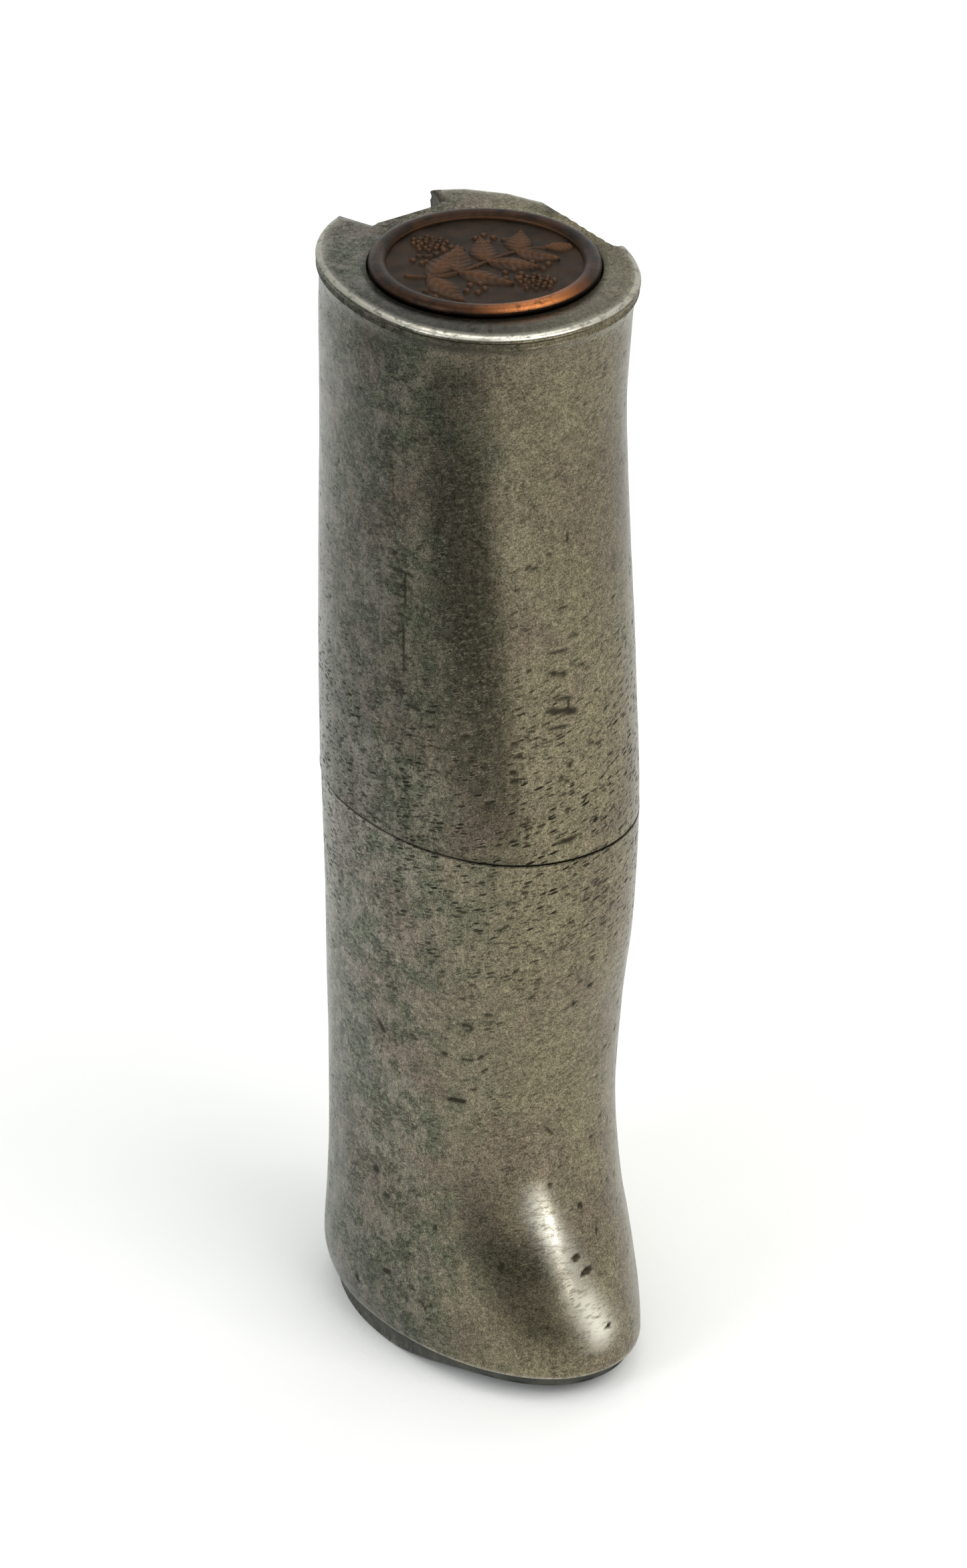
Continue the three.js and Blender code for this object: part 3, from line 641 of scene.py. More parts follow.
def make_medallion():
    count, rings = 420, []
    under, low, high = MEDAL_FIELD - 0.1, MEDAL_LOW, MEDAL_HIGH
    for r, z in ((1.0, under), (MEDAL_R - 0.5, under), (MEDAL_R - 0.5, low + 0.1), (MEDAL_R - 0.42, low)):
        rings.append(circle(r, z, count))
    rim_mid = (MEDAL_INNER + 0.1 + MEDAL_R) / 2
    rim_half = RECESS_R - 0.04 - rim_mid
    side = low + 0.35
    rings.append(circle(MEDAL_R - 0.2, low, count))
    for step in range(25):
        turn = step / 24 * pi
        lift = high - side
        z = side + lift * sin(turn) ** 0.8 if turn < 3 else MEDAL_FIELD
        rings.append(circle(rim_mid + rim_half * cos(turn), z, count))
    for r in np.linspace(MEDAL_INNER - 0.02, 0.05, 118):
        ring = circle(r, MEDAL_FIELD, count)
        c, s = cos(MEDAL_TURN), sin(MEDAL_TURN)
        raised = sprig(ring[:, 0] * c + ring[:, 1] * s, ring[:, 1] * c - ring[:, 0] * s)
        worn = 0.03 * np.sin(ring[:, 0] * 1.9 + 0.5) * np.sin(ring[:, 1] * 1.6)
        ring[:, 2] += raised * (0.85 + 4 * worn) + worn
        rings.append(ring)
    rings = np.array(rings)
    rings[..., 2] = np.minimum(rings[..., 2], high)
    rings[..., 0] += MEDAL_X
    medal = lofted("medallion_relief", rings, 60)

    def away(x, y):
        return np.hypot(x - MEDAL_X, y)

    paint(medal, "raised", lambda x, y, z: (z - MEDAL_FIELD) / MEDAL_RELIEF * (away(x, y) < MEDAL_INNER))
    paint(medal, "rim", lambda x, y, z: (away(x, y) - MEDAL_INNER) / 0.25)
    # The rim's front is painted bright as a highlight.
    paint(medal, "wear_and_painted_highlight", lambda x, y, z: hill(turn_at(x - MEDAL_X, y), -96, 24) * (z > MEDAL_HIGH - 0.35))
    return medal


# ---- materials ----
class Wire:
    """A node's output. Arithmetic on wires adds math nodes."""

    def __init__(self, finish, socket):
        self.finish, self.socket = finish, socket

    def __add__(self, other):
        return self.finish.math("ADD", self, other)

    def __mul__(self, other):
        return self.finish.math("MULTIPLY", self, other)

    def __sub__(self, other):
        return self.finish.math("SUBTRACT", self, other)

    def __rsub__(self, other):
        return self.finish.math("SUBTRACT", other, self)

    __radd__, __rmul__ = __add__, __mul__


class Finish:
    """Builds a material node by node. Each call adds one node and gives its output as a wire."""

    def __init__(self, name):
        self.material = bpy.data.materials.new(name)
        self.material.use_nodes = True
        self.tree = self.material.node_tree
        self.tree.nodes.clear()
        self.place = self.vector("SCALE", 0, self.node("TexCoord", "Object", {}), Scale=1 / MM)

    def node(self, kind, output, feeds, **settings):
        node = self.tree.nodes.new("ShaderNode" + kind)
        for key, value in settings.items():
            setattr(node, key, value)
        for key, value in feeds.items():
            if isinstance(value, Wire):
                self.tree.links.new(value.socket, node.inputs[key])
            else:
                node.inputs[key].default_value = value
        return None if output is None else Wire(self, node.outputs[output])

    def vector(self, operation, output, *parts, **feeds):
        return self.node("VectorMath", output, {**dict(enumerate(parts)), **feeds}, operation=operation)

    def math(self, operation, a, b=0.0, clamp=False):
        return self.node("Math", 0, {0: a, 1: b}, operation=operation, use_clamp=clamp)

    def scaled(self, x, y, z, climb=0.0):
        """The place, scaled on each axis, after it is sheared so that level things climb to the right."""
        place = self.place
        if climb:
            across, along = (self.node("SeparateXYZ", k, {0: place}) for k in (0, 1))
            up = self.along(-0.81 * climb, 0.58 * climb, 1)
            place = self.node("CombineXYZ", 0, {0: across, 1: along, 2: up})
        return self.vector("MULTIPLY", 0, place, (x, y, z))

    def along(self, x, y, z):
        """How far the place lies in a direction, in millimetres."""
        return self.vector("DOT_PRODUCT", "Value", self.place, (x, y, z))

    def noise(self, scale, detail=3.0, rough=0.55, place=None, warp=0.0):
        feeds = {"Scale": scale, "Detail": detail, "Roughness": rough, "Distortion": warp}
        return self.node("TexNoise", 0, {"Vector": place or self.place, **feeds})

    def specks(self, scale, share, size, place=None):
        """1 in the middle of a speck and 0 outside, with a speck in that share of the cells."""
        feeds = {"Vector": place or self.place, "Scale": scale}
        distance, colour = (self.node("TexVoronoi", output, feeds) for output in (0, 1))
        radius = self.spread(self.node("SeparateColor", 0, {0: colour}), 1 - share, 1, 0, size)
        return self.math("MULTIPLY", radius - distance, 3.2 / size, clamp=True)

    def cracks(self, value, level, width):
        """1 on the lines where the value crosses a level, and 0 beside them."""
        off = self.math("ABSOLUTE", value - level)
        return self.math("SUBTRACT", 1, self.math("DIVIDE", off, width), clamp=True)

    def spread(self, value, low, high, start=0.0, end=1.0):
        """The value moved from low..high to start..end, eased, and held at both ends."""
        feeds = {"Value": value, "From Min": low, "From Max": high, "To Min": start, "To Max": end}
        return self.node("MapRange", 0, feeds, interpolation_type="SMOOTHSTEP")

    def mix(self, share, a, b):
        """Colour a where the share is 0 and colour b where it is 1."""
        a, b = ((*c, 1) if isinstance(c, tuple) else c for c in (a, b))
        return self.node("Mix", 2, {0: share, 6: a, 7: b}, data_type="RGBA")

    def kept(self, name):
        """A measure that keep() kept with the piece."""
        return self.node("Attribute", "Fac", {}, attribute_name=name)

    def finish(self, colour, rough, height, **fixed):
        """Joins up the shader. The height is in millimetres."""
        normal = self.node("Bump", 0, {"Height": height, "Distance": MM, "Strength": 1.0})
        feeds = {"Base Color": colour, "Roughness": rough, "Normal": normal}
        feeds.update({key.replace("_", " "): value for key, value in fixed.items()})
        self.node("OutputMaterial", None, {0: self.node("BsdfPrincipled", 0, feeds)})
        return self.material


def cast_metal():
    """Worn grey alloy: cooler with a green bloom on one side and warmer on the other, that warmth partly a
    painted reflection; pitted in short dashes, dark in its marks, soiled and with painted shade in its coves
    and recesses, and polished where hands and cloth reach, partly as a painted highlight."""
    f = Finish("cast_metal")
    big, middle = f.noise(0.11, 4, 0.6, warp=0.6), f.noise(0.5, 5, 0.65)
    scribble = f.noise(1.35, 3, 0.6, f.scaled(0.62, 0.62, 1.7, 0.2), 1.0)
    breaks = f.noise(2.1, 2, 0.6)
    streaks = f.noise(1.0, 4, 0.65, f.scaled(1.1, 1.1, 0.3))
    grain, fine = f.noise(2.6, 3, 0.65), f.noise(9.0, 2, 0.6)
    side = f.spread(f.along(0.75, -0.66, 0) + big * 8, -6, 11)
    cool = 1 - side
    dashes = f.specks(1.55, 0.85, 0.5, f.scaled(0.75, 0.75, 2.6, 0.33))
    dots = f.specks(2.6, 0.85, 0.5, f.scaled(0.8, 0.8, 2.2, 0.33))
    up = f.along(0, 0, 1)
    belt = f.spread(up, 26, 46) * f.spread(up, 66, 50)
    where = 0.13 + 0.75 * belt + 0.4 * f.spread(middle, 0.45, 0.62)
    mark, wear_and_painted_highlight, grime_and_painted_shade, tone_and_painted_light = (f.kept(name) for name in ("mark", "wear_and_painted_highlight", "grime_and_painted_shade", "tone_and_painted_light"))
    pits = f.math("MAXIMUM", dashes * where, dots * where * 0.7)
    hollow = f.math("MAXIMUM", pits, mark)
    rubs = f.noise(1.0, 4, 0.7, f.scaled(0.9, 0.9, 3.2))
    polish_and_painted_highlight = wear_and_painted_highlight * (1 - hollow) * f.spread(rubs, 0.32, 0.5, 0.3, 1)

    # The +X, -Y side is warmer and brighter: partly the metal's own tint, partly a painted warm reflection
    # of the lit floor.
    colour = f.mix(side, (0.166, 0.159, 0.131), (0.224, 0.195, 0.127))
    colour = f.mix(f.spread(middle, 0.44, 0.6) * f.spread(side, 1.1, 0.2) * 0.75, colour, (0.1, 0.12, 0.076))
    colour = f.mix(f.spread(big, 0.46, 0.66) * 0.5, colour, (0.16, 0.12, 0.1))
    colour = f.mix(f.spread(streaks, 0.46, 0.66) * cool * 0.55, colour, (0.08, 0.079, 0.066))
    lines = f.math("MAXIMUM", f.cracks(scribble, 0.53, 0.055), f.cracks(scribble, 0.43, 0.055))
    lines = lines * f.spread(breaks, 0.42, 0.5) * f.spread(middle, 0.4, 0.5)
    colour = f.mix(lines * (0.3 + f.spread(cool, 0.3, 0.8) * 0.7), colour, (0.03, 0.031, 0.022))
    shade = f.spread(grain, 0.3, 0.7, 0.76, 1.26) * f.spread(fine, 0.3, 0.7, 0.52, 1.5)
    # Scaled by the kept map of painted light and shade.
    colour = f.vector("SCALE", 0, colour, Scale=shade * f.spread(tone_and_painted_light, 0, 1, 0.3, 1.7))
    colour = f.mix(hollow * 0.86, colour, (0.022, 0.02, 0.013))
    # Darker by the kept map of soiling and painted shade.
    colour = f.mix(grime_and_painted_shade * 0.9, colour, (0.024, 0.022, 0.016))
    # Bright where polished: partly real rubbing, partly a painted highlight.
    colour = f.mix(polish_and_painted_highlight * 0.92, colour, (0.8, 0.765, 0.66))

    rough = 0.15 + middle * 0.12 + grain * 0.1 + streaks * 0.06
    rough = rough + hollow * 0.3 + grime_and_painted_shade * 0.25 + polish_and_painted_highlight * -0.1
    height = pits * -0.035 + middle * 0.02 + grain * 0.012 + fine * 0.003
    return f.finish(colour, rough, height, Metallic=1.0)


def medal_bronze():
    """Old bronze: dark in the field, brown on the relief, coppery on the rim, with a painted highlight at
    the rim's front.
    """
    f = Finish("medal_bronze")
    raised, rim = f.kept("raised"), f.kept("rim")
    patches, grain = f.noise(0.7, 4, 0.6), f.noise(7.0, 3, 0.6)
    colour = f.mix(f.spread(patches, 0.35, 0.7), (0.036, 0.019, 0.009), (0.019, 0.012, 0.008))
    colour = f.mix(f.spread(raised, 0.15, 0.8) * 0.9, colour, (0.115, 0.053, 0.026))
    rim_colour = f.mix(f.spread(patches, 0.35, 0.65), (0.042, 0.02, 0.011), (0.014, 0.009, 0.007))
    # A painted highlight on the front of the rim.
    rim_colour = f.mix(f.kept("wear_and_painted_highlight") * f.spread(patches, 0.74, 0.56), rim_colour, (0.44, 0.155, 0.05))
    colour = f.mix(rim, colour, rim_colour)
    colour = f.mix(f.spread(grain, 0.5, 0.75) * 0.35, colour, (0.03, 0.018, 0.012))
    rough = 0.4 + grain * 0.2 + patches * 0.08 + rim * -0.18
    return f.finish(colour, rough, grain * 0.02 + patches * 0.02, Metallic=0.9)


def shaded_sole_metal():
    """The same metal, dull and nearly black, partly its own oxide and partly painted shade, rubbed brighter
    underneath.
    """
    f = Finish("shaded_sole_metal")
    patches, grain = f.noise(0.35, 5, 0.65), f.noise(3.5, 4, 0.65)
    rubs = f.noise(1.0, 3, 0.6, f.scaled(0.4, 2.6, 1.0))
    under = f.spread(f.along(0, 0, 1), 1.6, 0.05)
    colour = f.mix(f.spread(patches, 0.35, 0.68), (0.055, 0.057, 0.05), (0.095, 0.094, 0.08))
    colour = f.mix(f.spread(rubs, 0.45, 0.65) * under * 0.6, colour, (0.2, 0.19, 0.16))
    colour = f.mix(f.spread(grain, 0.55, 0.75) * 0.6, colour, (0.015, 0.014, 0.011))
    rough = 0.42 + patches * 0.2 + grain * 0.18
    return f.finish(colour, rough, patches * 0.04 + grain * 0.035, Metallic=0.7)


def turned_metal(name, light, dark, rough_low, spots):
    """Metal off the lathe: fine rings round the axis, tarnish in patches and small dark spots."""
    f = Finish(name)
    rings = f.noise(1.0, 3, 0.7, f.scaled(0.25, 0.25, 9.0))
    patches, grain = f.noise(0.4, 4, 0.6), f.noise(5.0, 3, 0.6)
    stain = f.specks(0.9, spots, 0.4)
    colour = f.mix(f.spread(patches, 0.4, 0.7), light, dark)
    colour = f.mix(f.spread(rings, 0.5, 0.75) * 0.3, colour, tuple(0.6 * c for c in dark))
    colour = f.mix(stain * 0.6, colour, tuple(0.35 * c for c in dark))
    rough = rough_low + rings * 0.14 + patches * 0.12 + stain * 0.2
    return f.finish(colour, rough, rings * 0.006 + grain * 0.004 + stain * -0.01, Metallic=1.0)


def turned_wood():
    """Close-grained brown wood with its grain along the axis."""
    f = Finish("turned_wood")
    rings = f.noise(1.0, 2, 0.5, f.scaled(0.5, 0.5, 0.03), 0.8)
    bands = f.math("FRACT", rings * 9)
    fibre = f.noise(1.0, 4, 0.7, f.scaled(7, 7, 0.5))
    pores = f.specks(1.0, 0.45, 0.4, f.scaled(5, 5, 0.7))
    colour = f.mix(f.spread(bands, 0.1, 0.9), (0.27, 0.135, 0.055), (0.19, 0.085, 0.032))
    colour = f.mix(f.spread(fibre, 0.4, 0.7) * 0.6, colour, (0.33, 0.18, 0.08))
    colour = f.mix(pores * 0.7, colour, (0.06, 0.026, 0.012))
    return f.finish(colour, 0.42 + fibre * 0.2 + pores * 0.2, fibre * 0.02 + pores * -0.04)


def wool_felt():
    """Pressed green felt with matted fibres."""
    f = Finish("wool_felt")
    mat, fibres = f.noise(1.4, 5, 0.7, warp=1.5), f.noise(9.0, 4, 0.75, warp=2.0)
    colour = f.mix(f.spread(mat, 0.35, 0.7), (0.035, 0.065, 0.038), (0.055, 0.09, 0.05))
    colour = f.mix(f.spread(fibres, 0.5, 0.72) * 0.7, colour, (0.12, 0.16, 0.1))
    height = mat * 0.1 + fibres * 0.08
    return f.finish(colour, 0.85 + fibres * 0.12, height, Sheen_Weight=0.4, Sheen_Roughness=0.5)


def graphite():
    """Drawing lead: dark grey with a metallic lustre, drawn lines along it and soft smudges."""
    f = Finish("graphite")
    lines, smudge = f.noise(1.0, 3, 0.6, f.scaled(6, 6, 0.3)), f.noise(0.9, 4, 0.6)
    grain = f.noise(8.0, 3, 0.6)
    colour = f.mix(f.spread(smudge, 0.35, 0.7), (0.055, 0.056, 0.06), (0.095, 0.096, 0.1))
    colour = f.mix(f.spread(lines, 0.5, 0.7) * 0.4, colour, (0.03, 0.03, 0.032))
    rough = 0.34 + lines * 0.12 + smudge * 0.16
    return f.finish(colour, rough, lines * 0.008 + grain * 0.005, Metallic=0.5)


# ---- inner pieces ----
SPARES, SPARE_R = 6, 5.9  # the spare leads, and the circle that they stand on


def rod(name, radius, low, high, chamfer=0.12, count=48, x=0.0, y=0.0):
    profile = [(radius * 0.3, low), (radius - chamfer, low), (radius, low + chamfer)]
    profile += [(radius, high - chamfer), (radius - chamfer, high), (radius * 0.3, high)]
    return turned(name, profile, count, x, y)


def tube(name, radius, inner, low, high, chamfer=0.12, count=128):
    profile = [(inner + chamfer, low), (radius - chamfer, low), (radius, low + chamfer)]
    profile += [(radius, high - chamfer), (radius - chamfer, high), (inner + chamfer, high)]
    profile += [(inner, high - chamfer), (inner, low + chamfer)]
    return bored(name, profile, count)


def cross_rod(name, radius, half, z, x, count=32):
    """A rod lying across the boot."""
    rings = []
    end = [(-half, 0.3), (-half, 0.8), (0.1 - half, 1)]
    for along, scale in [*end, *((-along, scale) for along, scale in reversed(end))]:
        ring = circle(radius * scale, 0, count)
        rings.append(np.stack([np.full(count, x + along), ring[:, 0], z + ring[:, 1]], axis=1))
    return lofted(name, rings)


def make_collar():
    inner, outer, low, high = 7.4, 8.1, 32.65, 54.5
    groove = [(outer, 49.5), (7.85, 49.6), (7.8, 49.68), (7.8, 50.52), (7.85, 50.6), (outer, 50.7)]
    profile = [(inner + 0.15, low), (outer - 0.15, low), (outer, low + 0.15), *groove]
    profile += [(outer, high - 0.5), (outer - 0.12, high - 0.2), (outer - 0.35, high), (inner + 0.1, high)]
    profile += [(inner, high - 0.1), (inner, low + 0.15)]
    return bored("collar_brass", profile, 192)


def make_spring_ring():
    """A split ring of wire with rounded corners, open at the back."""
    middle_r, half_width, low, high, gap = 8.075, 0.175, 49.8, 50.4, radians(24)
    turn = np.arange(16) / 16 * TURN
    r = middle_r + half_width * swell(np.cos(turn), 0.5)
    z = (low + high) / 2 + swell(np.sin(turn), 0.5) * (high - low) / 2
    angles = np.linspace(pi / 2 + gap / 2, pi / 2 + TURN - gap / 2, 140)
    rings = [np.stack([r * cos(angle), r * sin(angle), z], axis=1) for angle in angles]
    return lofted("spring_ring", rings)


def spare_place(i):
    """Where a spare lead stands."""
    angle = (i + 0.5) / SPARES * TURN
    return SPARE_R * cos(angle), SPARE_R * sin(angle)


def make_magazine():
    radius, hole, low, high = 8.1, 2.6, 14.45, 32.5
    profile = [(hole, low), (radius - 0.3, low), (radius, low + 0.3), (radius, 18.9), (radius - 0.12, 19.05)]
    profile += [(radius - 0.12, 19.25), (radius, 19.4), (radius, high - 0.6), (radius - 0.2, high - 0.2)]
    profile += [(radius - 0.6, high), (hole + 0.3, high), (hole, high - 0.3)]
    block = bored("magazine_wood", profile, 192)
    hole_r, wide = 1.2, 1.5
    flared = [(0.3, low - 1), (hole_r, low - 1), (hole_r, high - 0.25), (wide, high + 0.05)]
    flared += [(wide, high + 1), (0.3, high + 1)]
    return cut(block, *(turned("hole", flared, 40, *spare_place(i)) for i in range(SPARES)))


def make_felt():
    radius, hole, low, high, top_from, sag = 8.0, 3.05, 13.15, 14.3, 13.7, 0.04
    turn = np.arange(28) / 28 * TURN
    r = (radius + hole) / 2 + swell(np.cos(turn), 0.35) * (radius - hole) / 2
    z = (low + high) / 2 + swell(np.sin(turn), 0.5) * (high - low) / 2
    felt = bored("felt_washer", zip(r, z, strict=True), 160)
    for vertex in felt.data.vertices:
        x, y, z = vertex.co / MM
        soft = sin(2.7 * x + 1.1 * y) * sin(2.3 * y - 0.8 * x)
        vertex.co.z -= MM * sag * (1 + soft) * (z > top_from)
    return felt


def make_chuck_body():
    flange_r, root, crest, bore = 4.1, 2.95, 3.25, 2.6
    count, pitch, thread_low, turns = 96, 1.0, 46.5, 7
    profile = [(bore, 44.35), (bore + 0.15, 44.2), (flange_r - 0.15, 44.2), (flange_r, 44.35)]
    profile += [(flange_r, 46.05), (flange_r - 0.15, 46.2), (root + 0.1, 46.2), (root, 46.3)]
    rings = [circle(r, z, count) for r, z in profile]
    angle = np.arange(count) / count * TURN
    for z in np.linspace(thread_low, thread_low + turns * pitch, turns * 16 + 1):
        phase = np.mod((z - thread_low) / pitch - angle / TURN, 1)
        ends = min(1, (z - thread_low) / 0.6, (thread_low + turns * pitch - z) / 0.6)
        tooth = unit(1.25 - np.abs(phase - 0.5) * 2.6) * max(ends, 0)
        ring = circle(1, z, count)
        ring[:, :2] *= (root + (crest - root) * tooth)[:, None]
        rings.append(ring)
    nose = [(root, 53.85), (root - 0.15, 54), (bore + 0.1, 54), (bore, 53.9)]
    rings += [circle(r, z, count) for r, z in nose]
    return lofted("chuck_thread", rings, through=True)


def make_collet():
    bore, low, top = 1.12, 46.2, 60.5
    profile = [(bore, low), (2.2, low), (2.3, low + 0.1), (2.3, 54.9), (2.36, 55.05), (2.76, 56.2)]
    profile += [(2.8, 56.35), (2.76, 56.55), (1.98, 60.3), (1.85, top), (bore + 0.12, top)]
    profile += [(bore, top - 0.12)]
    slots = []
    for i in range(3):
        c, s = cos(i / 3 * TURN), sin(i / 3 * TURN)
        plan = [(0.02, -0.2), (4, -0.2), (4, 0.2), (0.02, 0.2)]
        plan = [(x * c - y * s, x * s + y * c) for x, y in plan]
        slots.append(prism("slot", plan, lambda x, y: 50.0, top + 1))
    return cut(bored("collet_jaws", profile, 96), *slots)


def make_closing_ring():
    profile = [(2.87, 57.0), (3.3, 57.0), (3.4, 57.1), (3.4, 58.5), (3.3, 58.6), (2.56, 58.6)]
    profile += [(2.5, 58.54), (2.82, 57.06)]
    return bored("closing_steel", profile, 96)


def make_nut():
    """The chuck's nut, with flutes for the fingers."""
    radius, inner, low, cone, top, nose, hole, roof = 4.3, 3.5, 46.5, 58.0, 61.2, 3.0, 2.4, 58.75
    count, flutes, depth = 256, 16, 0.28
    outside = [(inner + 0.1, low), (radius - 0.4, low), (radius - 0.1, low + 0.3), (radius, low + 0.55)]
    outside += [(radius, z) for z in (47.6, 47.9, 48.1, 48.4, 49, 51, 53, 55, 56, 56.3, 56.5, 56.8)]
    outside += [(radius, 57.2), (radius - 0.14, 57.26), (radius - 0.14, 57.44), (radius, 57.5)]
    outside += [(radius, cone - 0.2), (radius - 0.05, cone + 0.05)]
    outside += [(nose + 0.1, top - 0.2), (nose - 0.08, top - 0.03), (nose - 0.2, top)]
    outside += [(hole + 0.1, top), (hole, top - 0.1)]
    inside = [(hole, roof), (inner, roof), (inner, low + 0.1)]
    angle = np.arange(count) / count * TURN
    rings = []
    for r, z in [*outside, *inside]:
        ring = circle(r, z, count)
        fluted = unit(min((z - 47.9) / 0.5, (56.5 - z) / 0.5)) if r == radius else 0
        groove = unit(1 - (np.mod(angle / TURN * flutes + 0.5, 1) - 0.5) ** 2 / 0.05) ** 0.5
        ring[:, :2] *= (1 - depth / radius * fluted * groove)[:, None]
        rings.append(ring)
    return lofted("chuck_nut_fluted", rings, through=True)


def make_lead(name, low, high, x, y, cone=None):
    radius, count = 1.0, 40
    profile = [(0.3, low), (radius - 0.06, low), (radius, low + 0.06)]
    if cone is None:
        profile += [(radius, high - 0.5), (radius, high - 0.1), (radius - 0.08, high), (0.3, high)]
    else:
        profile += [(radius, cone), (radius * 0.94, cone + 0.25), (0.26, high - 0.22)]
        profile += [(0.18, high - 0.05), (0.05, high)]
    return turned(name, profile, count, x, y)


def make_shank():
    shank = rod("medallion_post", 1.2, 79.6, 84.5, 0.15, 48, MEDAL_X)
    return cut(shank, cross_rod("eye", 0.55, 2, 80.6, MEDAL_X))


# ---- rubbing, soiling, tarnish and painted light and shade, measured by place ----
def turn_at(x, y):
    """The angle around the axis, in degrees from -270 to 90, so that the front has no break."""
    angle = np.degrees(np.arctan2(y, x))
    return np.where(angle > 90, angle - 360, angle)


def crest_rub_and_painted_highlight(x, y, z):
    """The polished crest from the instep down to the toe, duller halfway: partly real rubbing, partly a
    painted highlight placed where the crest catches the light.
    """
    middle = np.interp(z, (5.4, 15.4), (-90, -103.5))
    reach = np.interp(z, (3.5, 5.5, 14.5, 17.5), (0, 1, 1, 0))
    return hill(turn_at(x, y), middle, 4.4) * reach * (1 - 0.5 * hill(z, 10, 2))


def boot_wear_and_painted_highlight(x, y, z):
    # Polished along the bottom edge and down the crest; the crest's share is partly a painted highlight.
    outer = np.hypot(x, y) > BORE_R + 0.6
    edge = hill(z - sole_edge(y), 0.2, 0.16) * 0.35
    return (edge + crest_rub_and_painted_highlight(x, y, z)) * outer


def boot_grime_and_painted_shade(x, y, z):
    # Darker inside the bore, painted shade on the casting's underside above the sole, and a dark joint at
    # the seam.
    inside = (np.hypot(x, y) < BORE_R + 0.1) & (z > BORE_FLOOR_Z - 3.5)
    under = unit((sole_edge(y) + 0.02 - z) / 0.05)
    seam = unit((z - SEAM_Z + 0.12) / 0.08)
    return 0.5 * inside + under * 0.9 + seam


def boot_tone_and_painted_light(x, y, z):
    """Brighter down the cool side, with a painted dark reflection over the flank of the foot and painted
    shade down the right edge.
    """
    angle = turn_at(x, y)
    light = 0.08 * hill(angle, -190, 45) * unit((z - 8) / 14)
    flank = 0.33 * hill(angle, np.interp(z, (4, 14), (-100, -122)), 10) * unit((18 - z) / 6)
    edge = 0.25 * hill(angle, -40, 17)
    return 0.45 + light - edge - flank * unit((z - 3.2) / 3)


def cap_grime_and_painted_shade(x, y, z):
    angle, away = turn_at(x, y), np.hypot(x - MEDAL_X, y)
    # Painted shade round the medallion in its recess.
    seat = unit((RECESS_R + 0.45 - away) / 0.45) * (z > RECESS_FLOOR_Z - 0.1)
    # The cove under the bead: soiled, with a painted dark reflection strongest at the front.
    cove = hill(z, CROWN_Z - 0.95, 0.42) * (away > RECESS_R) * (0.25 + 0.75 * hill(angle, -138, 26))
    smudge = hill(z, CROWN_Z - 2.6, 1.1) * hill(angle, -172, 9) * (away > RECESS_R) * 0.5
    inside = (np.hypot(x, y) < SLEEVE_R + 0.05) & (z < CEILING_Z + 0.1)
    seam = unit((CAP_LOW + 0.12 - z) / 0.08)
    dirt_and_shade = seat * 0.9 + cove * 0.8 + smudge + 0.35 * inside + seam
    return dirt_and_shade + file_ticks(angle, away, z) + notch_shade(x, y, z)


def file_ticks(angle, away, z):
    """Short radial file marks over the front of the crown's face."""
    dice = np.random.default_rng(5)
    spots = np.arange(-200, -60, 1.6)
    tick = np.interp(angle, spots, dice.uniform(0, 1, len(spots)) ** 2)
    face = (z > CROWN_Z - 0.2) & (away > RECESS_R + 0.3)
    return 0.75 * tick * hill(angle, -138, 26) * face


def notch_shade(x, y, z):
    """Painted shade in the notch's corner, and where the filed flat begins."""
    corner = (z < CROWN_Z - 0.1) & (z > CROWN_Z - 2.4) & (y > 9) & (np.abs(x - 3.8) < 0.7)
    away = np.hypot(x - MEDAL_X, y)
    bite = hill(turn_at(x, y), 24, 5) * (z > CROWN_Z - 0.8) * (away > RECESS_R + 0.5)
    return 0.85 * corner + 0.6 * bite


def cap_tone_and_painted_light(x, y, z):
    """Painted light and shade over the crown's face, darkest at its front, painted shade down the right
    edge, painted light low on the front, and darker on the -X side, partly tarnish and partly painted shade.
    """
    angle = turn_at(x, y)
    crown = (0.36 * hill(angle, -125, 55) + 0.12 * hill(angle, -20, 35) - 0.1) * (z > CROWN_Z - 0.3)
    # Darker on the -X side: partly tarnish, partly painted shade.
    tarnish = 0.1 * hill(angle, -155, 35) * unit((z - 50) / 8)
    tarnish += 0.06 * hill(angle, -175, 30) * unit((z - 66) / 8)
    edge = 0.16 * hill(angle, -40, 17) * (z < CROWN_Z - 0.3)
    painted_front_light = 0.07 * hill(angle, -88, 32) * unit((72 - z) / 14)
    return 0.38 - crown - tarnish - edge + painted_front_light


# ---- the object ----
SLOTS = {
    "casting": cast_metal(),
    "medal": medal_bronze(),
    "sole": shaded_sole_metal(),
    "brass": turned_metal("turned_brass", (0.68, 0.47, 0.19), (0.4, 0.25, 0.1), 0.2, 0.2),
    "steel": turned_metal("turned_steel", (0.42, 0.42, 0.41), (0.24, 0.235, 0.22), 0.22, 0.3),
    "wood": turned_wood(),
    "felt": wool_felt(),
    "lead": graphite(),
}


def place_piece(piece, node, body, slot):
    """Lets a piece stand for its CAD node."""
    piece.data.materials.clear()
    piece.data.materials.append(SLOTS[slot])
    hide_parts(node)
    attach(piece, body)


boot = make_boot()
paint(boot, "wear_and_painted_highlight", boot_wear_and_painted_highlight)
paint(boot, "grime_and_painted_shade", boot_grime_and_painted_shade)
paint(boot, "tone_and_painted_light", boot_tone_and_painted_light)
cap = make_cap()
paint(cap, "grime_and_painted_shade", cap_grime_and_painted_shade)
paint(cap, "tone_and_painted_light", cap_tone_and_painted_light)

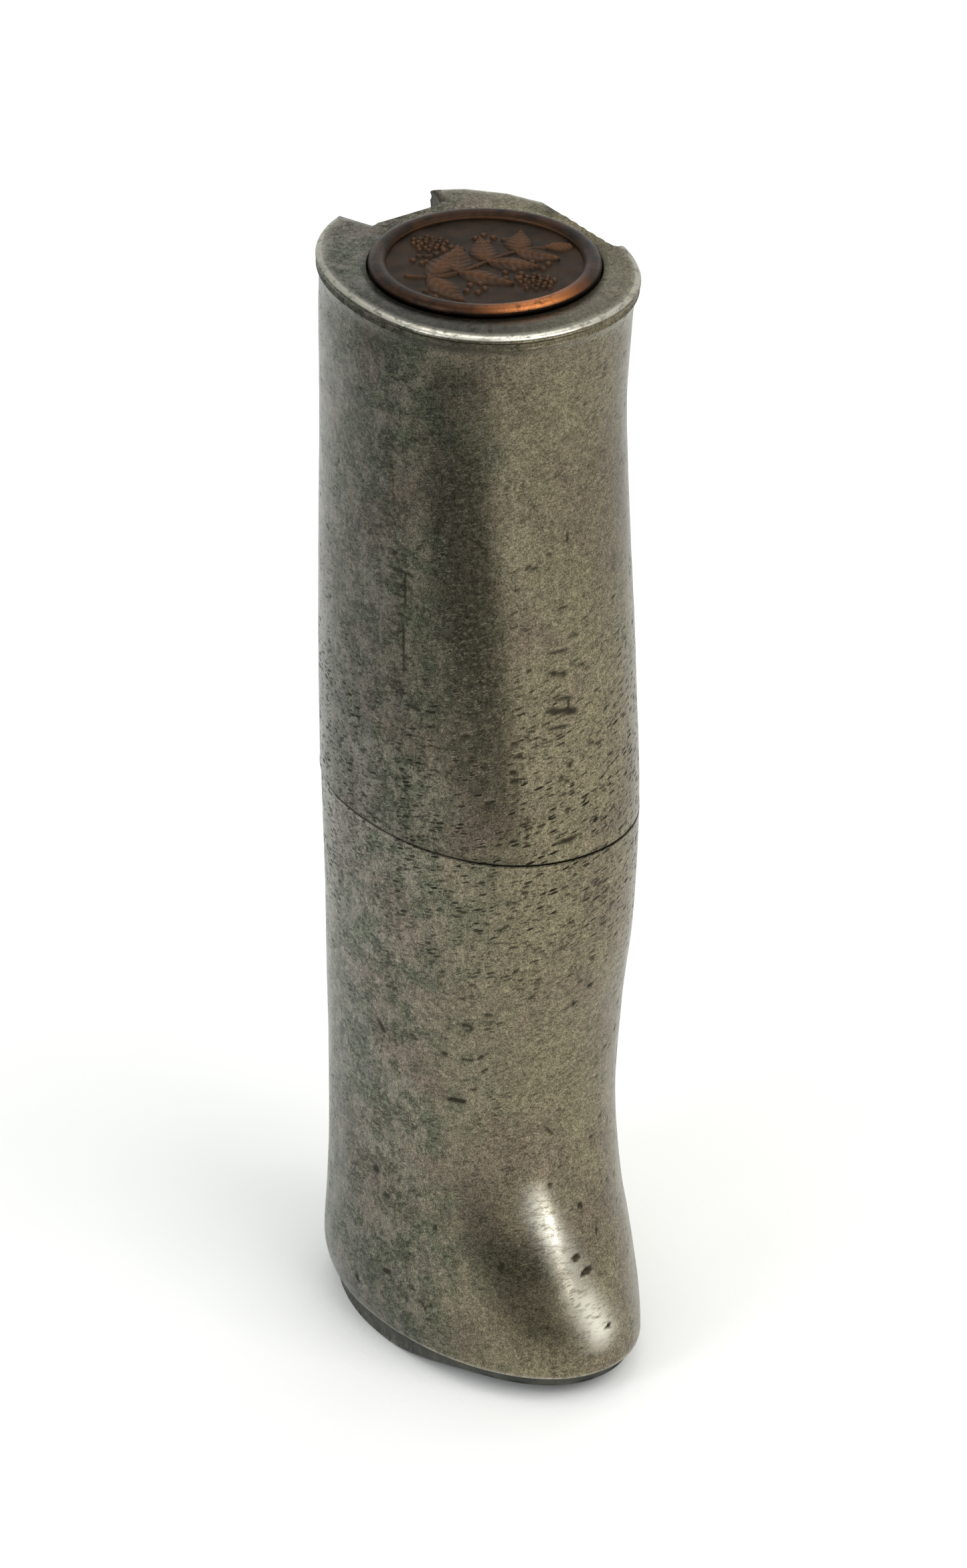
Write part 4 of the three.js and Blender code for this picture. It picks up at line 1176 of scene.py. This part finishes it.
for piece, node, body, slot in (
    (boot, "boot_body", "boot", "casting"),
    (cap, "cap_shell", "cap", "casting"),
    (rod("dowel_pin", 0.8, 38.0, 48.4, 0.25, 40, 0, DOWEL_Y), "locating_dowel", "boot", "steel"),
    (make_medallion(), "medallion_face", "cap", "medal"),
    (rod("medallion_disc", 7.3, 84.7, 84.95, 0.06, 128, MEDAL_X), "medallion_back", "cap", "brass"),
    (make_shank(), "medallion_shank", "cap", "brass"),
    (cross_rod("shank_cross_pin", 0.4, 3.4, 80.6, MEDAL_X), "shank_pin", "cap", "steel"),
    (make_sole(), "sole_plate", "boot", "sole"),
    (make_screw("screw_toe", SCREW_Y[0]), "sole_screw_toe", "boot", "steel"),
    (make_screw("screw_heel", SCREW_Y[1]), "sole_screw_heel", "boot", "steel"),
    (make_collar(), "collar_tube", "boot", "brass"),
    (make_spring_ring(), "friction_ring", "boot", "steel"),
    (felt := make_felt(), "felt_pad", "boot", "felt"),
    (make_magazine(), "lead_magazine", "boot", "wood"),
    (tube("barrel_brass", 2.4, 1.25, 10.15, 46.0, 0.12, 64), "barrel_tube", "boot", "brass"),
    (rod("stop_plug", 1.1, 10.3, 12.85), "lead_stop", "boot", "steel"),
    (make_chuck_body(), "chuck_body", "boot", "brass"),
    (make_collet(), "collet", "boot", "steel"),
    (make_closing_ring(), "closing_ring", "closing_ring", "steel"),
    (make_nut(), "chuck_nut", "chuck_nut", "brass"),
    (make_lead("lead_pointed", 13, 69.5, 0, 0, cone=64.5), "drawing_lead", "drawing_lead", "lead"),
):
    place_piece(piece, node, body, slot)
for number in range(SPARES):
    spare = make_lead(f"lead_spare_{number + 1}", 14.5, 57.0, *spare_place(number))
    name = f"spare_lead_{number + 1}"
    place_piece(spare, name, name, "lead")


# ---- floor, lights and camera ----
def pale_floor():
    f = Finish("pale_paper")
    patches, grain = f.noise(0.02, 3, 0.6), f.noise(1.5, 3, 0.6)
    colour = f.mix(f.spread(patches, 0.3, 0.7), (0.88, 0.88, 0.87), (0.92, 0.92, 0.915))
    return f.finish(colour, 0.82 + grain * 0.1, grain * 0.02)


def make_floor():
    half, steps = 1.6, 24
    side = np.linspace(-half, half, steps) / MM
    points = [(x, y, 0.0) for y in side for x in side]
    faces = [(j * steps + i, j * steps + i + 1, (j + 1) * steps + i + 1, (j + 1) * steps + i)
             for j in range(steps - 1) for i in range(steps - 1)]
    floor = solid("floor", points, faces)
    floor.data.materials.append(pale_floor())


def softbox(name, azimuth, elevation, distance, width, height, power, colour):
    """An area light that looks at the middle of the boot. Azimuth is around +Z from +X."""
    lamp = bpy.data.lights.new(name, "AREA")
    lamp.shape = "RECTANGLE"
    lamp.size, lamp.size_y = width, height
    lamp.energy, lamp.color = power, colour
    thing = add(name, lamp)
    a, e = radians(azimuth), radians(elevation)
    way = Vector((cos(a) * cos(e), sin(a) * cos(e), sin(e)))
    thing.location = Vector((0, 0, 0.04)) + way * distance
    thing.rotation_mode = "QUATERNION"
    thing.rotation_quaternion = way.to_track_quat("Z", "Y")


def dark_flag(azimuth, distance, width, low, high):
    """A dark card that only shows in reflections."""
    a = radians(azimuth)
    middle = np.array([cos(a), sin(a)]) * distance / MM
    side = np.array([-sin(a), cos(a)]) * width / 2 / MM
    points = [(*(middle - side), low / MM), (*(middle + side), low / MM)]
    points += [(*(middle + side), high / MM), (*(middle - side), high / MM)]
    card = solid("flag", points, [(0, 1, 2, 3)])
    f = Finish("flag_cloth")
    weave = f.noise(2.0, 2, 0.5)
    card.data.materials.append(f.finish(f.mix(weave, (0.01, 0.01, 0.01), (0.02, 0.02, 0.02)), 0.9, weave))
    card.visible_camera = card.visible_diffuse = card.visible_shadow = False


def aim_camera():
    azimuth, elevation, roll = (radians(angle) for angle in (-35.6, 30.1, 0.73))
    target, distance = Vector((0, -0.0007, 0.043892)), 0.565
    lens = bpy.data.cameras.new("camera")
    lens.lens, lens.sensor_width = 179.8, 36
    lens.shift_x, lens.shift_y = 0.002562, 0.000854
    lens.clip_start, lens.clip_end = 0.01, 20
    turn = Euler((pi / 2 - elevation, 0, azimuth)).to_matrix() @ Matrix.Rotation(roll, 3, "Z")
    camera = add("camera", lens)
    camera.matrix_world = Matrix.Translation(target + turn @ Vector((0, 0, distance))) @ turn.to_4x4()
    scene.camera = camera


def white_world():
    world = bpy.data.worlds.new("studio")
    world.use_nodes = True
    sky = world.node_tree.nodes["Background"]
    sky.inputs["Color"].default_value = (0.985, 1.0, 0.98, 1)
    sky.inputs["Strength"].default_value = 0.87
    scene.world = world


make_floor()
white_world()
# azimuth, elevation, distance, width, height, power and colour
softbox("overhead", -74, 50, 1.0, 0.7, 0.7, 4.1, (1.0, 0.985, 0.95))
softbox("top", 62, 68, 1.0, 0.6, 0.6, 1.1, (1.0, 0.985, 0.95))
softbox("glint", -104, -2, 0.5, 0.07, 0.04, 0.05, (1.0, 0.98, 0.93))
softbox("cool", -177, 25, 0.6, 0.14, 0.4, 0.8, (0.9, 0.95, 1.0))
dark_flag(-146, 0.12, 0.12, 0.001, 0.045)
aim_camera()
scene.view_settings.view_transform = "Standard"
